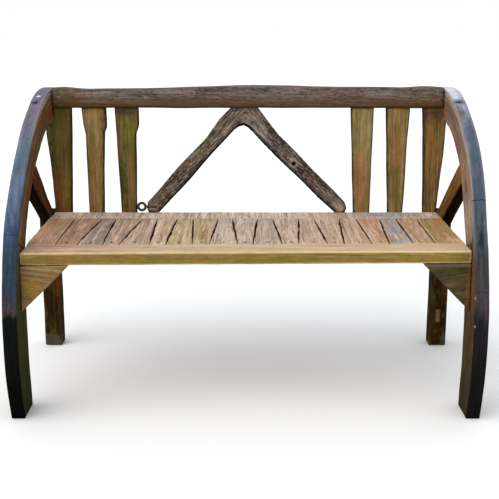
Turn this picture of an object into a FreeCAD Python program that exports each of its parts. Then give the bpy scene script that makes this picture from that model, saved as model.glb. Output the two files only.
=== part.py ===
import FreeCAD, Part
import math
import os
import re

import Sketcher

# A garden bench built from the pieces of two old ox-cart wheels. Each side is a stretch
# of wooden rim with its iron tyre, braced by one spoke. Seventeen more spokes make the
# seat and six the back, with a forked branch between them.
# Origin: on the floor, in the middle of the footprint. +X to the sitter's left as seen
# from the front (the viewer's right), +Y to the back, +Z up. Millimetres and degrees.

Vector = FreeCAD.Vector

document = FreeCAD.newDocument("garden_bench")
sheet = document.addObject("Spreadsheet::Sheet", "Sheet")

# Every alias has an underscore in it, which tells it from a function's name. Depths
# called "from_hub" are measured back from the wheel's centre line.
DIMENSIONS = [
    ("wheel_radius", 600, "outside of the iron tyre"),
    ("hub_height", 216, "wheel centre above the floor"),
    ("rim_inside", 583, "centre plane to a rim's inner face"),
    ("rim_width", 37, "rim and tyre, across the wheel"),
    ("tyre_thickness", 8, "iron band"),
    ("rim_top_angle", 94, "end of the rim, past the top of the wheel"),
    ("felloe_joint_angle", 26, "where the two felloes meet"),
    ("felloe_depth_top", 82, "upper felloe with tyre, at the top of the wheel"),
    ("felloe_depth_joint", 100, "both felloes with tyre, at their joint"),
    ("felloe_depth_leg", 130, "lower felloe with tyre, at hub height"),
    ("felloe_depth_foot", 106, "lower felloe with tyre, at the floor"),
    ("seat_height", 450, "top of the seat"),
    ("seat_front_from_hub", -530, "front face of the front rail"),
    ("seat_back_from_hub", -32, "back face of the back rail"),
    ("seat_rail_depth", 88, "front and back rails, front to back"),
    ("seat_rail_thickness", 35, "front and back rails and end boards"),
    ("end_board_width", 77, "board at each end of the seat"),
    ("slat_thickness", 25, "spokes laid in the seat"),
    ("slat_gap", 4, "between two seat slats"),
    ("bearer_width", 40, "batten under the slats' ends"),
    ("bearer_thickness", 30, "batten under the slats' ends"),
    ("leg_front_from_hub", 26, "front face of a back leg"),
    ("leg_depth", 52, "back leg, front to back"),
    ("leg_width", 55, "back leg, side to side"),
    ("leg_top", 441, "top of a back leg"),
    ("back_slat_thickness", 28, "spokes standing in the back"),
    ("back_slat_bottom", 348, "lower end of the back slats"),
    ("apron_height", 72, "board behind the slats' lower ends"),
    ("apron_bottom", 342, "board behind the slats' lower ends"),
    ("apron_thickness", 30, "board behind the slats' lower ends"),
    ("rail_bottom", 768, "underside of the top rail"),
    ("rail_end_height", 48, "top rail at its ends"),
    ("rail_middle_height", 63, "top rail at its middle"),
    ("rail_front_from_hub", -40, "front face of the top rail"),
    ("rail_depth", 60, "top rail, front to back"),
    ("crook_thickness", 40, "forked branch, front to back"),
    ("crook_lap", 10, "how far the branch's feet lap onto the seat"),
    ("gusset_leg", 126, "both short sides of a gusset"),
    ("gusset_thickness", 30, "gusset, front to back"),
    ("gusset_proud", 6, "gusset in front of the front rail"),
    ("eye_height", 464, "centre of the iron eye"),
    ("eye_radius", 11, "iron eye, to the middle of its bar"),
    ("eye_bar", 4, "radius of the eye's bar"),
    ("eye_offset", 315, "iron eye, left of the centre plane"),
    ("knot_hole_radius", 6, "hole through the branch's right limb"),
    ("knot_hole_offset", 144, "hole, right of the centre plane"),
    ("knot_hole_height", 600, "hole above the floor"),
    ("dowel_radius", 10, "dowel across the felloe joint"),
    ("dowel_length", 90, "dowel across the felloe joint"),
    ("tyre_bolt_head_radius", 7, "flush head in the tyre"),
    ("tyre_bolt_radius", 4, "shank through tyre and felloe"),
    ("screw_head_radius", 10, "coach screw, round head"),
    ("screw_head_height", 5, "coach screw, round head"),
    ("screw_radius", 4, "coach screw, shank"),
    ("screw_length", 95, "coach screw, shank"),
    ("nail_head_radius", 3.5, "round nail"),
    ("nail_head_height", 1.2, "round nail"),
    ("nail_radius", 1.6, "round nail, shank"),
    ("nail_length", 45, "round nail, shank"),
]
for row, (alias, size, meaning) in enumerate(DIMENSIONS, start=1):
    sheet.set(f"A{row}", meaning)
    sheet.set(f"B{row}", str(size))
    sheet.setAlias(f"B{row}", alias)

# Sizes that follow from the ones above.
DERIVED = [
    ("hub_depth", "(wheel_radius - leg_front_from_hub - leg_depth) / 2"),
    ("rim_outside", "rim_inside + rim_width"),
    ("felloe_radius", "wheel_radius - tyre_thickness"),
    ("seat_front", "hub_depth + seat_front_from_hub"),
    ("seat_back", "hub_depth + seat_back_from_hub"),
    ("slats_front", "seat_front + seat_rail_depth"),
    ("slats_back", "seat_back - seat_rail_depth"),
    ("slats_half_span", "rim_inside - end_board_width"),
    ("leg_front", "hub_depth + leg_front_from_hub"),
    ("leg_inside", "rim_inside + 5"),
    ("back_slat_back", "seat_back + back_slat_thickness"),
    ("rail_front", "hub_depth + rail_front_from_hub"),
    ("crook_front", "seat_back - crook_lap"),
]
for row, (alias, formula) in enumerate(DERIVED, start=len(DIMENSIONS) + 1):
    sheet.set(f"B{row}", "=" + formula)
    sheet.setAlias(f"B{row}", alias)
document.recompute()

ALIAS = re.compile(r"\b([a-z]+(?:_[a-z]+)+)\b")
NODES = []


def value(expression):
    """The number that an expression in the sheet's aliases comes to."""
    result = sheet.evalExpression(str(expression))
    return float(getattr(result, "Value", result))


def bind(thing, name, expression):
    """Ties one property or constraint of a document object to the sheet."""
    thing.setExpression(name, ALIAS.sub(r"Sheet.\1", str(expression)))


def place(thing, x="0", y="0", z="0"):
    """Ties an object's position to the sheet."""
    bind(thing, "Placement.Base.x", x)
    bind(thing, "Placement.Base.y", y)
    bind(thing, "Placement.Base.z", z)


def node(thing, label):
    """Names a finished sub-part; its label is its file's name."""
    thing.Label = label
    NODES.append(thing)
    return thing


def pin_point(sketch, geometry, end, point):
    """Holds one point of a sketch at a pair of expressions."""
    for kind, expression in zip(("DistanceX", "DistanceY"), point):
        index = sketch.addConstraint(
            Sketcher.Constraint(kind, -1, 1, geometry, end, value(expression))
        )
        name = f"{kind}_{index}"
        sketch.renameConstraint(index, name)
        bind(sketch, "Constraints." + name, expression)


def add_arc(sketch, start, middle, finish):
    """An arc through three points; gives its number and its start and finish ends."""
    curve = Part.Arc(start, middle, finish).toShape().Curve
    first = math.atan2(start.y - curve.Center.y, start.x - curve.Center.x)
    last = math.atan2(finish.y - curve.Center.y, finish.x - curve.Center.x)
    anticlockwise = (middle - start).cross(finish - middle).z > 0
    if not anticlockwise:
        first, last = last, first
    circle = Part.Circle(curve.Center, Vector(0, 0, 1), curve.Radius)
    geometry = sketch.addGeometry(Part.ArcOfCircle(circle, first, last), False)
    return (geometry, 1, 2) if anticlockwise else (geometry, 2, 1)


def outline(body, role, corners, arcs=None):
    """A closed outline in one of the body's own planes.

    corners are pairs of expressions. arcs maps the number of a side to a point
    that the side, as an arc, passes through.
    """
    arcs = arcs or {}
    sketch = body.newObject("Sketcher::SketchObject", body.Name + "_outline")
    plane = next(item for item in body.Origin.OriginFeatures if item.Role == role)
    sketch.AttachmentSupport = [(plane, "")]
    sketch.MapMode = "FlatFace"
    points = [Vector(value(across), value(up), 0) for across, up in corners]
    sides = []
    for side, start in enumerate(points):
        finish = points[(side + 1) % len(points)]
        if side in arcs:
            middle = Vector(*(value(item) for item in arcs[side]), 0)
            sides.append(add_arc(sketch, start, middle, finish))
            through = sketch.addGeometry(Part.Point(middle), True)
            pin_point(sketch, through, 1, arcs[side])
            sketch.addConstraint(
                Sketcher.Constraint("PointOnObject", through, 1, sides[-1][0])
            )
        else:
            line = sketch.addGeometry(Part.LineSegment(start, finish), False)
            sides.append((line, 1, 2))
    for side, (geometry, _, finish_end) in enumerate(sides):
        following, start_end, _ = sides[(side + 1) % len(sides)]
        sketch.addConstraint(
            Sketcher.Constraint("Coincident", geometry, finish_end, following, start_end)
        )
    for (geometry, start_end, _), corner in zip(sides, corners):
        pin_point(sketch, geometry, start_end, corner)
    return sketch


def sawn(label, role, corners, thickness, arcs=None, x="0", y="0", z="0"):
    """A piece sawn to an outline from a board of even thickness."""
    body = document.addObject("PartDesign::Body", label)
    sketch = outline(body, role, corners, arcs)
    pad = body.newObject("PartDesign::Pad", label + "_pad")
    pad.Profile = sketch
    bind(pad, "Length", thickness)
    place(body, x, y, z)
    return body


def board(label, width, depth, height, x, y, z):
    """A plain rectangular board with its corner at x, y, z."""
    box = document.addObject("Part::Box", label)
    bind(box, "Length", width)
    bind(box, "Width", depth)
    bind(box, "Height", height)
    place(box, x, y, z)
    return box


def cut(label, base, tool):
    """A piece with holes where another piece goes through it."""
    result = document.addObject("Part::Cut", label)
    result.Base = base
    result.Tool = tool
    return result


def fastener(label, head, head_height, shank, shank_length):
    """A round head with its shank below it, head up, the head's top at the origin."""
    top = document.addObject("Part::Cylinder", label + "_head")
    bind(top, "Radius", head)
    bind(top, "Height", head_height)
    place(top, z=f"-({head_height})")
    stem = document.addObject("Part::Cylinder", label + "_shank")
    bind(stem, "Radius", shank)
    bind(stem, "Height", shank_length)
    place(stem, z=f"-({head_height}) - ({shank_length})")
    both = document.addObject("Part::Fuse", label)
    both.Base = top
    both.Tool = stem
    return both


def group(label, piece, positions):
    """Copies of one fastener as separate solids; each position is (place, turn)."""
    document.recompute()
    solids = []
    for base, turn in positions:
        solid = piece.Shape.copy()
        solid.Placement = FreeCAD.Placement(base, turn)
        solids.append(solid)
    copies = document.addObject("Part::Feature", label)
    copies.Shape = Part.makeCompound(solids)
    return copies


def on_wheel(radius, angle):
    """Depth and height, as expressions, of a point of the wheel; angle 0 is the front."""
    return (
        f"hub_depth - ({radius}) * cos({angle})",
        f"hub_height + ({radius}) * sin({angle})",
    )


def at_floor(radius):
    """Where a circle about the hub comes down to the floor in front."""
    return (f"hub_depth - sqrt(({radius}) ^ 2 - hub_height ^ 2)", "0")


def side_start(side, inner, outer):
    """Lower X limit of a slab between two distances from the centre plane."""
    return inner if side > 0 else f"-({outer})"


# ---- Fasteners, drawn once with the head's top at the origin ----
tyre_bolt = fastener(
    "tyre_bolt", "tyre_bolt_head_radius", "tyre_thickness - 2", "tyre_bolt_radius", "62"
)
coach_screw = fastener(
    "coach_screw", "screw_head_radius", "screw_head_height", "screw_radius", "screw_length"
)
nail = fastener(
    "nail", "nail_head_radius", "nail_head_height", "nail_radius", "nail_length"
)

TYRE_BOLT_ANGLES = (-14, 12, 32, 56, 78)


def tyre_bolts(name, side):
    """Bolts through the tyre, each pointing at the hub."""
    centre = value("rim_inside + rim_width / 2") * side
    radius = value("wheel_radius") - 0.4
    positions = []
    for angle in TYRE_BOLT_ANGLES:
        turn = FreeCAD.Rotation(Vector(1, 0, 0), 90 - angle)
        away = turn.multVec(Vector(0, 0, radius))
        hub = Vector(centre, value("hub_depth"), value("hub_height"))
        positions.append((hub + away, turn))
    return group(f"{name}_tyre_bolts", tyre_bolt, positions)


def frame_screws(name, side):
    """Coach screws driven inwards through the rim into the three cross rails."""
    face = (value("rim_outside") + value("screw_head_height")) * side
    places = (
        ("rail_front + 34", "rail_bottom + 24"),
        ("seat_front + 44", "seat_height - 17"),
        ("leg_front - 14", "apron_bottom + 44"),
    )
    turn = FreeCAD.Rotation(Vector(0, 1, 0), 90 * side)
    positions = [(Vector(face, value(y), value(z)), turn) for y, z in places]
    return group(f"{name}_frame_screws", coach_screw, positions)


def felloe_dowel(name, side):
    """The hidden dowel that lines up the two felloes, along the rim's curve."""
    dowel = document.addObject("Part::Cylinder", f"{name}_dowel_rod")
    bind(dowel, "Radius", "dowel_radius")
    bind(dowel, "Height", "dowel_length")
    depth, height = on_wheel("wheel_radius - felloe_depth_joint / 2", "felloe_joint_angle")
    lean = value("felloe_joint_angle")
    turn = FreeCAD.Rotation(Vector(1, 0, 0), -lean)
    half = turn.multVec(Vector(0, 0, value("dowel_length") / 2))
    middle = Vector(value("rim_inside + rim_width / 2") * side, value(depth), value(height))
    dowel.Placement = FreeCAD.Placement(middle - half, turn)
    return dowel


def side_frame(name, side):
    """One end of the bench: rim, tyre, spoke brace, back leg and corner gusset."""
    start = side_start(side, "rim_inside", "rim_outside")
    joint_inner = "wheel_radius - felloe_depth_joint"
    top_inner = "wheel_radius - felloe_depth_top"
    leg_inner = "wheel_radius - felloe_depth_leg"
    foot_inner = "wheel_radius - felloe_depth_foot"
    upper_middle = "(felloe_joint_angle + rim_top_angle) / 2"
    upper_inner_middle = "wheel_radius - (felloe_depth_joint + felloe_depth_top) / 2"
    dowel = felloe_dowel(name, side)
    bolts = tyre_bolts(name, side)
    screws = frame_screws(name, side)

    lower = sawn(
        f"{name}_lower_felloe_blank",
        "YZ_Plane",
        [
            at_floor("felloe_radius"),
            on_wheel("felloe_radius", "felloe_joint_angle"),
            on_wheel(joint_inner, "felloe_joint_angle"),
            at_floor(foot_inner),
        ],
        "rim_width",
        {0: on_wheel("felloe_radius", "0"), 2: on_wheel(leg_inner, "0")},
        x=start,
    )
    upper = sawn(
        f"{name}_upper_felloe_blank",
        "YZ_Plane",
        [
            on_wheel("felloe_radius", "felloe_joint_angle"),
            on_wheel("felloe_radius", "rim_top_angle"),
            on_wheel(top_inner, "rim_top_angle"),
            on_wheel(joint_inner, "felloe_joint_angle"),
        ],
        "rim_width",
        {
            0: on_wheel("felloe_radius", upper_middle),
            2: on_wheel(upper_inner_middle, upper_middle),
        },
        x=start,
    )
    band = sawn(
        f"{name}_tyre_band",
        "YZ_Plane",
        [
            at_floor("wheel_radius"),
            on_wheel("wheel_radius", "rim_top_angle"),
            on_wheel("felloe_radius", "rim_top_angle"),
            at_floor("felloe_radius"),
        ],
        "rim_width",
        {0: on_wheel("wheel_radius", "45"), 2: on_wheel("felloe_radius", "45")},
        x=start,
    )
    for label, blank in (("lower_felloe", lower), ("upper_felloe", upper)):
        dowelled = cut(f"{name}_{label}_dowelled", blank, dowel)
        bolted = cut(f"{name}_{label}_bolted", dowelled, bolts)
        node(cut(f"{name}_{label}_screwed", bolted, screws), f"{name}_{label}")
    node(cut(f"{name}_tyre_drilled", band, bolts), f"{name}_tyre")
    node(dowel, f"{name}_felloe_dowel")
    node(bolts, f"{name}_tyre_bolts")
    node(screws, f"{name}_frame_screws")

    # The brace is a spoke, wide end up, its end sawn to the rim's inner curve.
    spoke_high, spoke_low = "56.8", "47.5"
    spoke_drop = "tan(36)"
    reach = "leg_front - hub_depth"
    spoke = sawn(
        f"{name}_spoke_blank",
        "YZ_Plane",
        [
            on_wheel(f"{upper_inner_middle} + 1", spoke_high),
            ("leg_front", f"hub_height + 218 - ({reach}) * {spoke_drop}"),
            ("leg_front", f"hub_height + 165 - ({reach}) * {spoke_drop}"),
            on_wheel(f"{upper_inner_middle} - 2", spoke_low),
        ],
        "rim_width",
        {3: on_wheel(f"{upper_inner_middle} - 0.5", f"({spoke_high} + {spoke_low}) / 2")},
        x=start,
    )
    spoke_clear = cut(f"{name}_spoke_coped", spoke, upper)
    node(cut(f"{name}_spoke_screwed", spoke_clear, screws), f"{name}_spoke_brace")
    node(
        board(
            f"{name}_back_leg",
            "leg_width",
            "leg_depth",
            "leg_top",
            side_start(side, "leg_inside", "leg_inside + leg_width"),
            "leg_front",
            "0",
        ),
        f"{name}_back_leg",
    )
    top = "seat_height - seat_rail_thickness"
    edge = f"{side} * rim_inside"
    node(
        sawn(
            f"{name}_gusset",
            "XZ_Plane",
            [
                (edge, top),
                (f"{side} * (rim_inside - gusset_leg)", top),
                (edge, f"{top} - gusset_leg"),
            ],
            "gusset_thickness",
            y="seat_front - gusset_proud + gusset_thickness",
        ),
        f"{name}_gusset",
    )
    return screws


left_screws = side_frame("left", -1)
right_screws = side_frame("right", 1)


def screwed(label, piece):
    """A cross rail with the holes of both sides' coach screws in its ends."""
    left_done = cut(label + "_left", piece, left_screws)
    return node(cut(label + "_right", left_done, right_screws), label)


# ---- Seat: two rails, two end boards and seventeen spokes in between ----
rail_z = "seat_height - seat_rail_thickness"
seat_rails = {}
for label, front in (
    ("seat_front_rail", "seat_front"),
    ("seat_back_rail", "seat_back - seat_rail_depth"),
):
    rail = board(
        label + "_board",
        "2 * rim_inside",
        "seat_rail_depth",
        "seat_rail_thickness",
        "-rim_inside",
        front,
        rail_z,
    )
    seat_rails[label] = screwed(label, rail)
for name, side in (("left", -1), ("right", 1)):
    label = f"seat_{name}_end_board"
    node(
        board(
            label,
            "end_board_width",
            "slats_back - slats_front",
            "seat_rail_thickness",
            side_start(side, "slats_half_span", "rim_inside"),
            "slats_front",
            rail_z,
        ),
        label,
    )

# The middles of the gaps from left to right, at the back and at the front of the slats.
# The spokes lie head to tail, so the gaps lean each way.
SEAT_GAPS = (
    (-424, -448),
    (-383, -380),
    (-304, -336),
    (-261, -255),
    (-201, -213),
    (-155, -141),
    (-80, -96),
    (-39, -21),
    (36, 20),
    (80, 98),
    (158, 142),
    (202, 219),
    (277, 263),
    (326, 337),
    (397, 383),
    (445, 447),
)
slats_edge = value("slats_half_span")
slat_sides = [(-slats_edge, -slats_edge), *SEAT_GAPS, (slats_edge, slats_edge)]
slat_sides = list(zip(slat_sides, slat_sides[1:]))

# Nails go down through each slat near both ends, into the bearers.
upright = FreeCAD.Rotation()
nail_top = value("seat_height") - 0.3
nail_positions = []
for (left_back, left_front), (right_back, right_front) in slat_sides:
    front_nail = Vector((left_front + right_front) / 2, value("slats_front") + 16, nail_top)
    back_nail = Vector((left_back + right_back) / 2, value("slats_back") - 16, nail_top)
    nail_positions += [(front_nail, upright), (back_nail, upright)]
seat_nails = node(group("seat_nails", nail, nail_positions), "seat_nails")

for number, (left_side, right_side) in enumerate(slat_sides, start=1):
    slat = sawn(
        f"slat_blank_{number:02d}",
        "XY_Plane",
        [
            (f"{left_side[1]} + slat_gap / 2", "slats_front"),
            (f"{right_side[1]} - slat_gap / 2", "slats_front"),
            (f"{right_side[0]} - slat_gap / 2", "slats_back"),
            (f"{left_side[0]} + slat_gap / 2", "slats_back"),
        ],
        "slat_thickness",
        z="seat_height - slat_thickness",
    )
    label = f"seat_slat_{number:02d}"
    node(cut(label + "_nailed", slat, seat_nails), label)

for name, front in (
    ("front", "slats_front"),
    ("back", "slats_back - bearer_width"),
):
    label = f"{name}_bearer"
    bearer = board(
        label + "_batten",
        "2 * slats_half_span",
        "bearer_width",
        "bearer_thickness",
        "-slats_half_span",
        front,
        "seat_height - slat_thickness - bearer_thickness",
    )
    node(cut(label + "_nailed", bearer, seat_nails), label)

# ---- Back: top rail, six spokes, the forked branch and the apron behind their feet ----
top_rail = sawn(
    "top_rail_pole",
    "XZ_Plane",
    [
        ("-rim_inside", "rail_bottom"),
        ("rim_inside", "rail_bottom"),
        ("rim_inside", "rail_bottom + rail_end_height"),
        ("-rim_inside", "rail_bottom + rail_end_height"),
    ],
    "rail_depth",
    {2: ("0", "rail_bottom + rail_middle_height")},
    y="rail_front + rail_depth",
)
screwed("top_rail", top_rail)

apron = board(
    "back_apron_board",
    "2 * rim_inside",
    "apron_thickness",
    "apron_height",
    "-rim_inside",
    "back_slat_back",
    "apron_bottom",
)
apron_left = cut("back_apron_left", apron, left_screws)
apron_drilled = cut("back_apron_right", apron_left, right_screws)

# The two sides of each standing spoke as (distance from the centre plane, distance below
# the top rail), from the head down; the feet follow. The second and third have shoulders
# under their heads. The outermost two bulge past the rims' inner faces, and are notched
# to clear the rim above and the spoke brace below.
NOTCH = value("rim_inside - 1")
RIM_NOTCH = value("rail_bottom - hub_height - wheel_radius + felloe_depth_top + 4")
BRACE_NOTCH = value("rail_bottom - hub_height - 270")
BACK_SLATS = {
    1: (
        [(-NOTCH, 0), (-NOTCH, RIM_NOTCH), (-591, RIM_NOTCH), (-583, BRACE_NOTCH)],
        [(-519, 0)],
        (-NOTCH, -532),
    ),
    2: ([(-491, 0), (-487, 47), (-480, 82)], [(-417, 0), (-417, 62), (-423, 76)], (-478, -435)),
    3: ([(-391, 0)], [(-319, 0), (-319, 56), (-328, 80)], (-376, -332)),
    4: ([(314, 0)], [(384, 0)], (334, 377)),
    5: ([(420, 0)], [(491, 0)], (437, 476)),
    6: (
        [(528, 0)],
        [(NOTCH, 0), (NOTCH, RIM_NOTCH), (594, RIM_NOTCH), (588, 246), (NOTCH, BRACE_NOTCH)],
        (546, NOTCH),
    ),
}

# Two nails go through the foot of each slat into the apron.
nail_depth = value("seat_back") + 0.3
nail_height = value("back_slat_bottom") + 32
facing_front = FreeCAD.Rotation(Vector(1, 0, 0), 90)
foot_nail_positions = []
for _, _, foot in BACK_SLATS.values():
    for column in (foot[0] + 14, foot[1] - 14):
        spot = Vector(column, nail_depth, nail_height)
        foot_nail_positions.append((spot, facing_front))
foot_nails = node(group("back_slat_nails", nail, foot_nail_positions), "back_slat_nails")
node(cut("back_apron_nailed", apron_drilled, foot_nails), "back_apron")

for number, (left_side, right_side, foot) in BACK_SLATS.items():
    label = f"back_slat_{number}"
    corners = [(left, f"rail_bottom - {drop}") for left, drop in left_side]
    corners += [(bottom, "back_slat_bottom") for bottom in foot]
    corners += [(right, f"rail_bottom - {drop}") for right, drop in reversed(right_side)]
    blank = sawn(label + "_blank", "XZ_Plane", corners, "back_slat_thickness", y="back_slat_back")
    node(cut(label + "_nailed", blank, foot_nails), label)

# The branch forks upside down: a flat head under the rail and two limbs whose feet lap
# onto the back of the seat.
crook_blank = sawn(
    "crook_blank",
    "XZ_Plane",
    [
        ("-42", "rail_bottom"),
        ("-116", "rail_bottom - 92"),
        ("-302", "seat_height + 28"),
        ("-302", "seat_height - seat_rail_thickness"),
        ("-263", "seat_height - seat_rail_thickness"),
        ("-263", "seat_height"),
        ("-40", "rail_bottom - 74"),
        ("24", "rail_bottom - 76"),
        ("266", "seat_height"),
        ("266", "seat_height - seat_rail_thickness"),
        ("300", "seat_height - seat_rail_thickness"),
        ("300", "seat_height + 24"),
        ("104", "rail_bottom - 86"),
        ("34", "rail_bottom"),
    ],
    "crook_thickness",
    {6: ("-8", "rail_bottom - 52")},
    y="crook_front + crook_thickness",
)
crook_hole = document.addObject("Part::Cylinder", "crook_hole")
bind(crook_hole, "Radius", "knot_hole_radius")
bind(crook_hole, "Height", "crook_thickness + 20")
crook_hole.Placement = FreeCAD.Placement(Vector(), FreeCAD.Rotation(Vector(1, 0, 0), -90))
place(crook_hole, "knot_hole_offset", "crook_front - 10", "knot_hole_height")
crook_bored = cut("crook_bored", crook_blank, crook_hole)

# The eye: a forged ring on a shank that is screwed into the branch's left foot.
eye_ring = document.addObject("Part::Torus", "eye_ring")
bind(eye_ring, "Radius1", "eye_radius")
bind(eye_ring, "Radius2", "eye_bar")
eye_ring.Placement = FreeCAD.Placement(Vector(), FreeCAD.Rotation(Vector(1, 0, 0), 90))
place(eye_ring, "-eye_offset", "crook_front + 4", "eye_height + 4")
eye_shank = document.addObject("Part::Cylinder", "eye_shank")
bind(eye_shank, "Radius", "eye_bar")
bind(eye_shank, "Height", "34")
eye_shank.Placement = FreeCAD.Placement(Vector(), FreeCAD.Rotation(Vector(0, 1, 0), 90))
place(eye_shank, "-eye_offset + eye_radius", "crook_front + 4", "eye_height + 4")
eye = document.addObject("Part::Fuse", "eye")
eye.Base = eye_ring
eye.Tool = eye_shank
node(eye, "crook_eye")
crook_eyed = cut("crook_eyed", crook_bored, eye)
# Both feet are notched over the back rail, which stands in front of them below the seat.
node(cut("crook_notched", crook_eyed, seat_rails["seat_back_rail"]), "crook_brace")

# ---- Check every object, then write one file for each sub-part ----
document.recompute()
for item in document.Objects:
    if "Invalid" in item.State or "Error" in item.State:
        raise RuntimeError(f"{item.Label} failed: {item.State}")
os.makedirs("parts", exist_ok=True)
for piece in NODES:
    if piece.Shape.isNull() or not piece.Shape.isValid():
        raise RuntimeError(f"{piece.Label} has no valid shape")
    piece.Shape.exportStep(f"parts/{piece.Label}.step")
print(f"{len(NODES)} sub-parts written")
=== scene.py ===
import math

import bmesh
import bpy
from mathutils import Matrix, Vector, noise


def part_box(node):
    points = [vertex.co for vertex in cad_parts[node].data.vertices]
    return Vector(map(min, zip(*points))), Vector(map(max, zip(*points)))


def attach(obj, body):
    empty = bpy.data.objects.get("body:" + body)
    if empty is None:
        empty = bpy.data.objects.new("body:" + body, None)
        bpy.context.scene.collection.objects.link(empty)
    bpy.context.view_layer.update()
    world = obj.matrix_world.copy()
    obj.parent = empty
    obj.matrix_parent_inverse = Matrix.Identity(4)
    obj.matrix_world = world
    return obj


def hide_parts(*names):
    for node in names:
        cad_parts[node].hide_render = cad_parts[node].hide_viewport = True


# A garden bench made from two old ox-cart wheels: rim pieces with their iron tyres as
# sides, spokes as seat and back, and a forked branch in the middle of the back.
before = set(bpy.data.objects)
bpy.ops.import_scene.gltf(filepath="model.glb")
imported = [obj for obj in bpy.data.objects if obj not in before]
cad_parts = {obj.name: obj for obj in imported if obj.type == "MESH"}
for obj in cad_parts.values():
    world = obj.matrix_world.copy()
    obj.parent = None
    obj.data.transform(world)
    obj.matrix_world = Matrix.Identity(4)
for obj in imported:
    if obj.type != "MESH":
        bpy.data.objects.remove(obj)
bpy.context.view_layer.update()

# ---- Studio ----
# A pale floor that runs to the horizon, a broad soft sun high on the left, and an even sky.
# The camera stands in front of the bench at standing height, tipped down at the seat.
scene = bpy.context.scene
scene.view_settings.view_transform = "Standard"

WHEEL_RADIUS = 0.600
tyre_low, tyre_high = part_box("left_tyre")
HUB_Y = tyre_low.y + WHEEL_RADIUS
HUB_Z = tyre_high.z - WHEEL_RADIUS

floor_mesh = bmesh.new()
bmesh.ops.create_grid(floor_mesh, x_segments=1, y_segments=1, size=30)
floor_data = bpy.data.meshes.new("floor")
floor_mesh.to_mesh(floor_data)
floor_mesh.free()
floor = bpy.data.objects.new("floor", floor_data)
scene.collection.objects.link(floor)
floor_paint = bpy.data.materials.new("pale_floor")
floor_paint.use_nodes = True
floor_shader = floor_paint.node_tree.nodes["Principled BSDF"]
floor_shader.inputs["Base Color"].default_value = (0.93, 0.93, 0.93, 1)
floor_shader.inputs["Roughness"].default_value = 0.9
floor_data.materials.append(floor_paint)

sky = bpy.data.worlds.new("sky")
sky.use_nodes = True
sky_light = sky.node_tree.nodes["Background"]
sky_light.inputs["Color"].default_value = (0.93, 0.96, 1.0, 1)
sky_light.inputs["Strength"].default_value = 0.86
backdrop = sky.node_tree.nodes.new("ShaderNodeBackground")
backdrop.inputs["Color"].default_value = (1, 1, 1, 1)
seen = sky.node_tree.nodes.new("ShaderNodeLightPath")
either = sky.node_tree.nodes.new("ShaderNodeMixShader")
for source, socket in (
    (seen.outputs["Is Camera Ray"], either.inputs[0]),
    (sky_light.outputs[0], either.inputs[1]),
    (backdrop.outputs[0], either.inputs[2]),
    (either.outputs[0], sky.node_tree.nodes["World Output"].inputs["Surface"]),
):
    sky.node_tree.links.new(source, socket)
scene.world = sky

sun = bpy.data.lights.new("sun", "SUN")
sun.energy = 1.75
sun.angle = math.radians(70)
sun.color = (1.0, 0.97, 0.93)
sun_place = bpy.data.objects.new("sun", sun)
sun_place.rotation_euler = (math.radians(30), math.radians(-32), 0)
scene.collection.objects.link(sun_place)

CAMERA_AWAY = 3.0211
CAMERA_HEIGHT = 1.0661
CAMERA_TIP = 13.8
camera = bpy.data.cameras.new("camera")
camera.sensor_width = 36
camera.lens = 72.07
camera.shift_x = 0.008
camera_place = bpy.data.objects.new("camera", camera)
camera_place.location = (0, HUB_Y - CAMERA_AWAY, CAMERA_HEIGHT)
camera_place.rotation_euler = (math.radians(90 - CAMERA_TIP), 0, 0)
scene.collection.objects.link(camera_place)
scene.camera = camera_place

# ---- Rim felloes ----
# Two sawn pieces of ash or elm make each side. The lower one is the front leg, left deeper
# than the upper one. They are grey-brown, with the grain straight along each piece.


def tint(red, green, blue):
    """A colour in 0 to 255 display values, as the shader wants it."""
    channels = []
    for value in (red, green, blue):
        part = value / 255
        channels.append(part / 12.92 if part <= 0.04045 else ((part + 0.055) / 1.055) ** 2.4)
    return (*channels, 1.0)


def add(tree, kind, links=None, **settings):
    """One more node in a material. links maps a socket to a value or another socket."""
    made = tree.nodes.new("ShaderNode" + kind)
    for name, value in settings.items():
        setattr(made, name, value)
    for socket, value in (links or {}).items():
        if isinstance(value, bpy.types.NodeSocket):
            tree.links.new(value, made.inputs[socket])
        else:
            made.inputs[socket].default_value = value
    return made


def maths(tree, operation, *values):
    """One sum on numbers or sockets."""
    return add(tree, "Math", dict(enumerate(values)), operation=operation).outputs[0]


def here(tree):
    """Where a point of the surface is on the bench."""
    return add(tree, "TexCoord").outputs["Object"]


def height_of(tree):
    """How high a point of the surface is above the floor."""
    return add(tree, "SeparateXYZ", {0: here(tree)}).outputs["Z"]


def stored(tree, layer):
    """A value that weather() stored on the piece."""
    return add(tree, "Attribute", attribute_name=layer).outputs["Fac"]


def new_material(name):
    """An empty material with its node tree and its shader."""
    material = bpy.data.materials.new(name)
    material.use_nodes = True
    return material, material.node_tree, material.node_tree.nodes["Principled BSDF"]


def mixed(tree, share, under, over, mode="MIX"):
    """Lays one colour over another, or multiplies it, by a share from 0 to 1."""
    made = add(tree, "Mix", {0: share, 6: under, 7: over}, data_type="RGBA", blend_type=mode)
    return made.outputs[2]


def steps(tree, share, *stops):
    """A colour ramp from (place, colour) stops."""
    made = add(tree, "ValToRGB", {0: share})
    ramp = made.color_ramp
    while len(ramp.elements) < len(stops):
        ramp.elements.new(0.5)
    for element, (place, colour) in zip(ramp.elements, stops):
        element.position = place
        element.color = colour
    return made.outputs[0]


def span(tree, value, low, high, to_low=0.0, to_high=1.0):
    """Stretches part of a value's range to another range."""
    made = add(tree, "MapRange", {0: value, 1: low, 2: high, 3: to_low, 4: to_high})
    return made.outputs[0]


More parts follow.
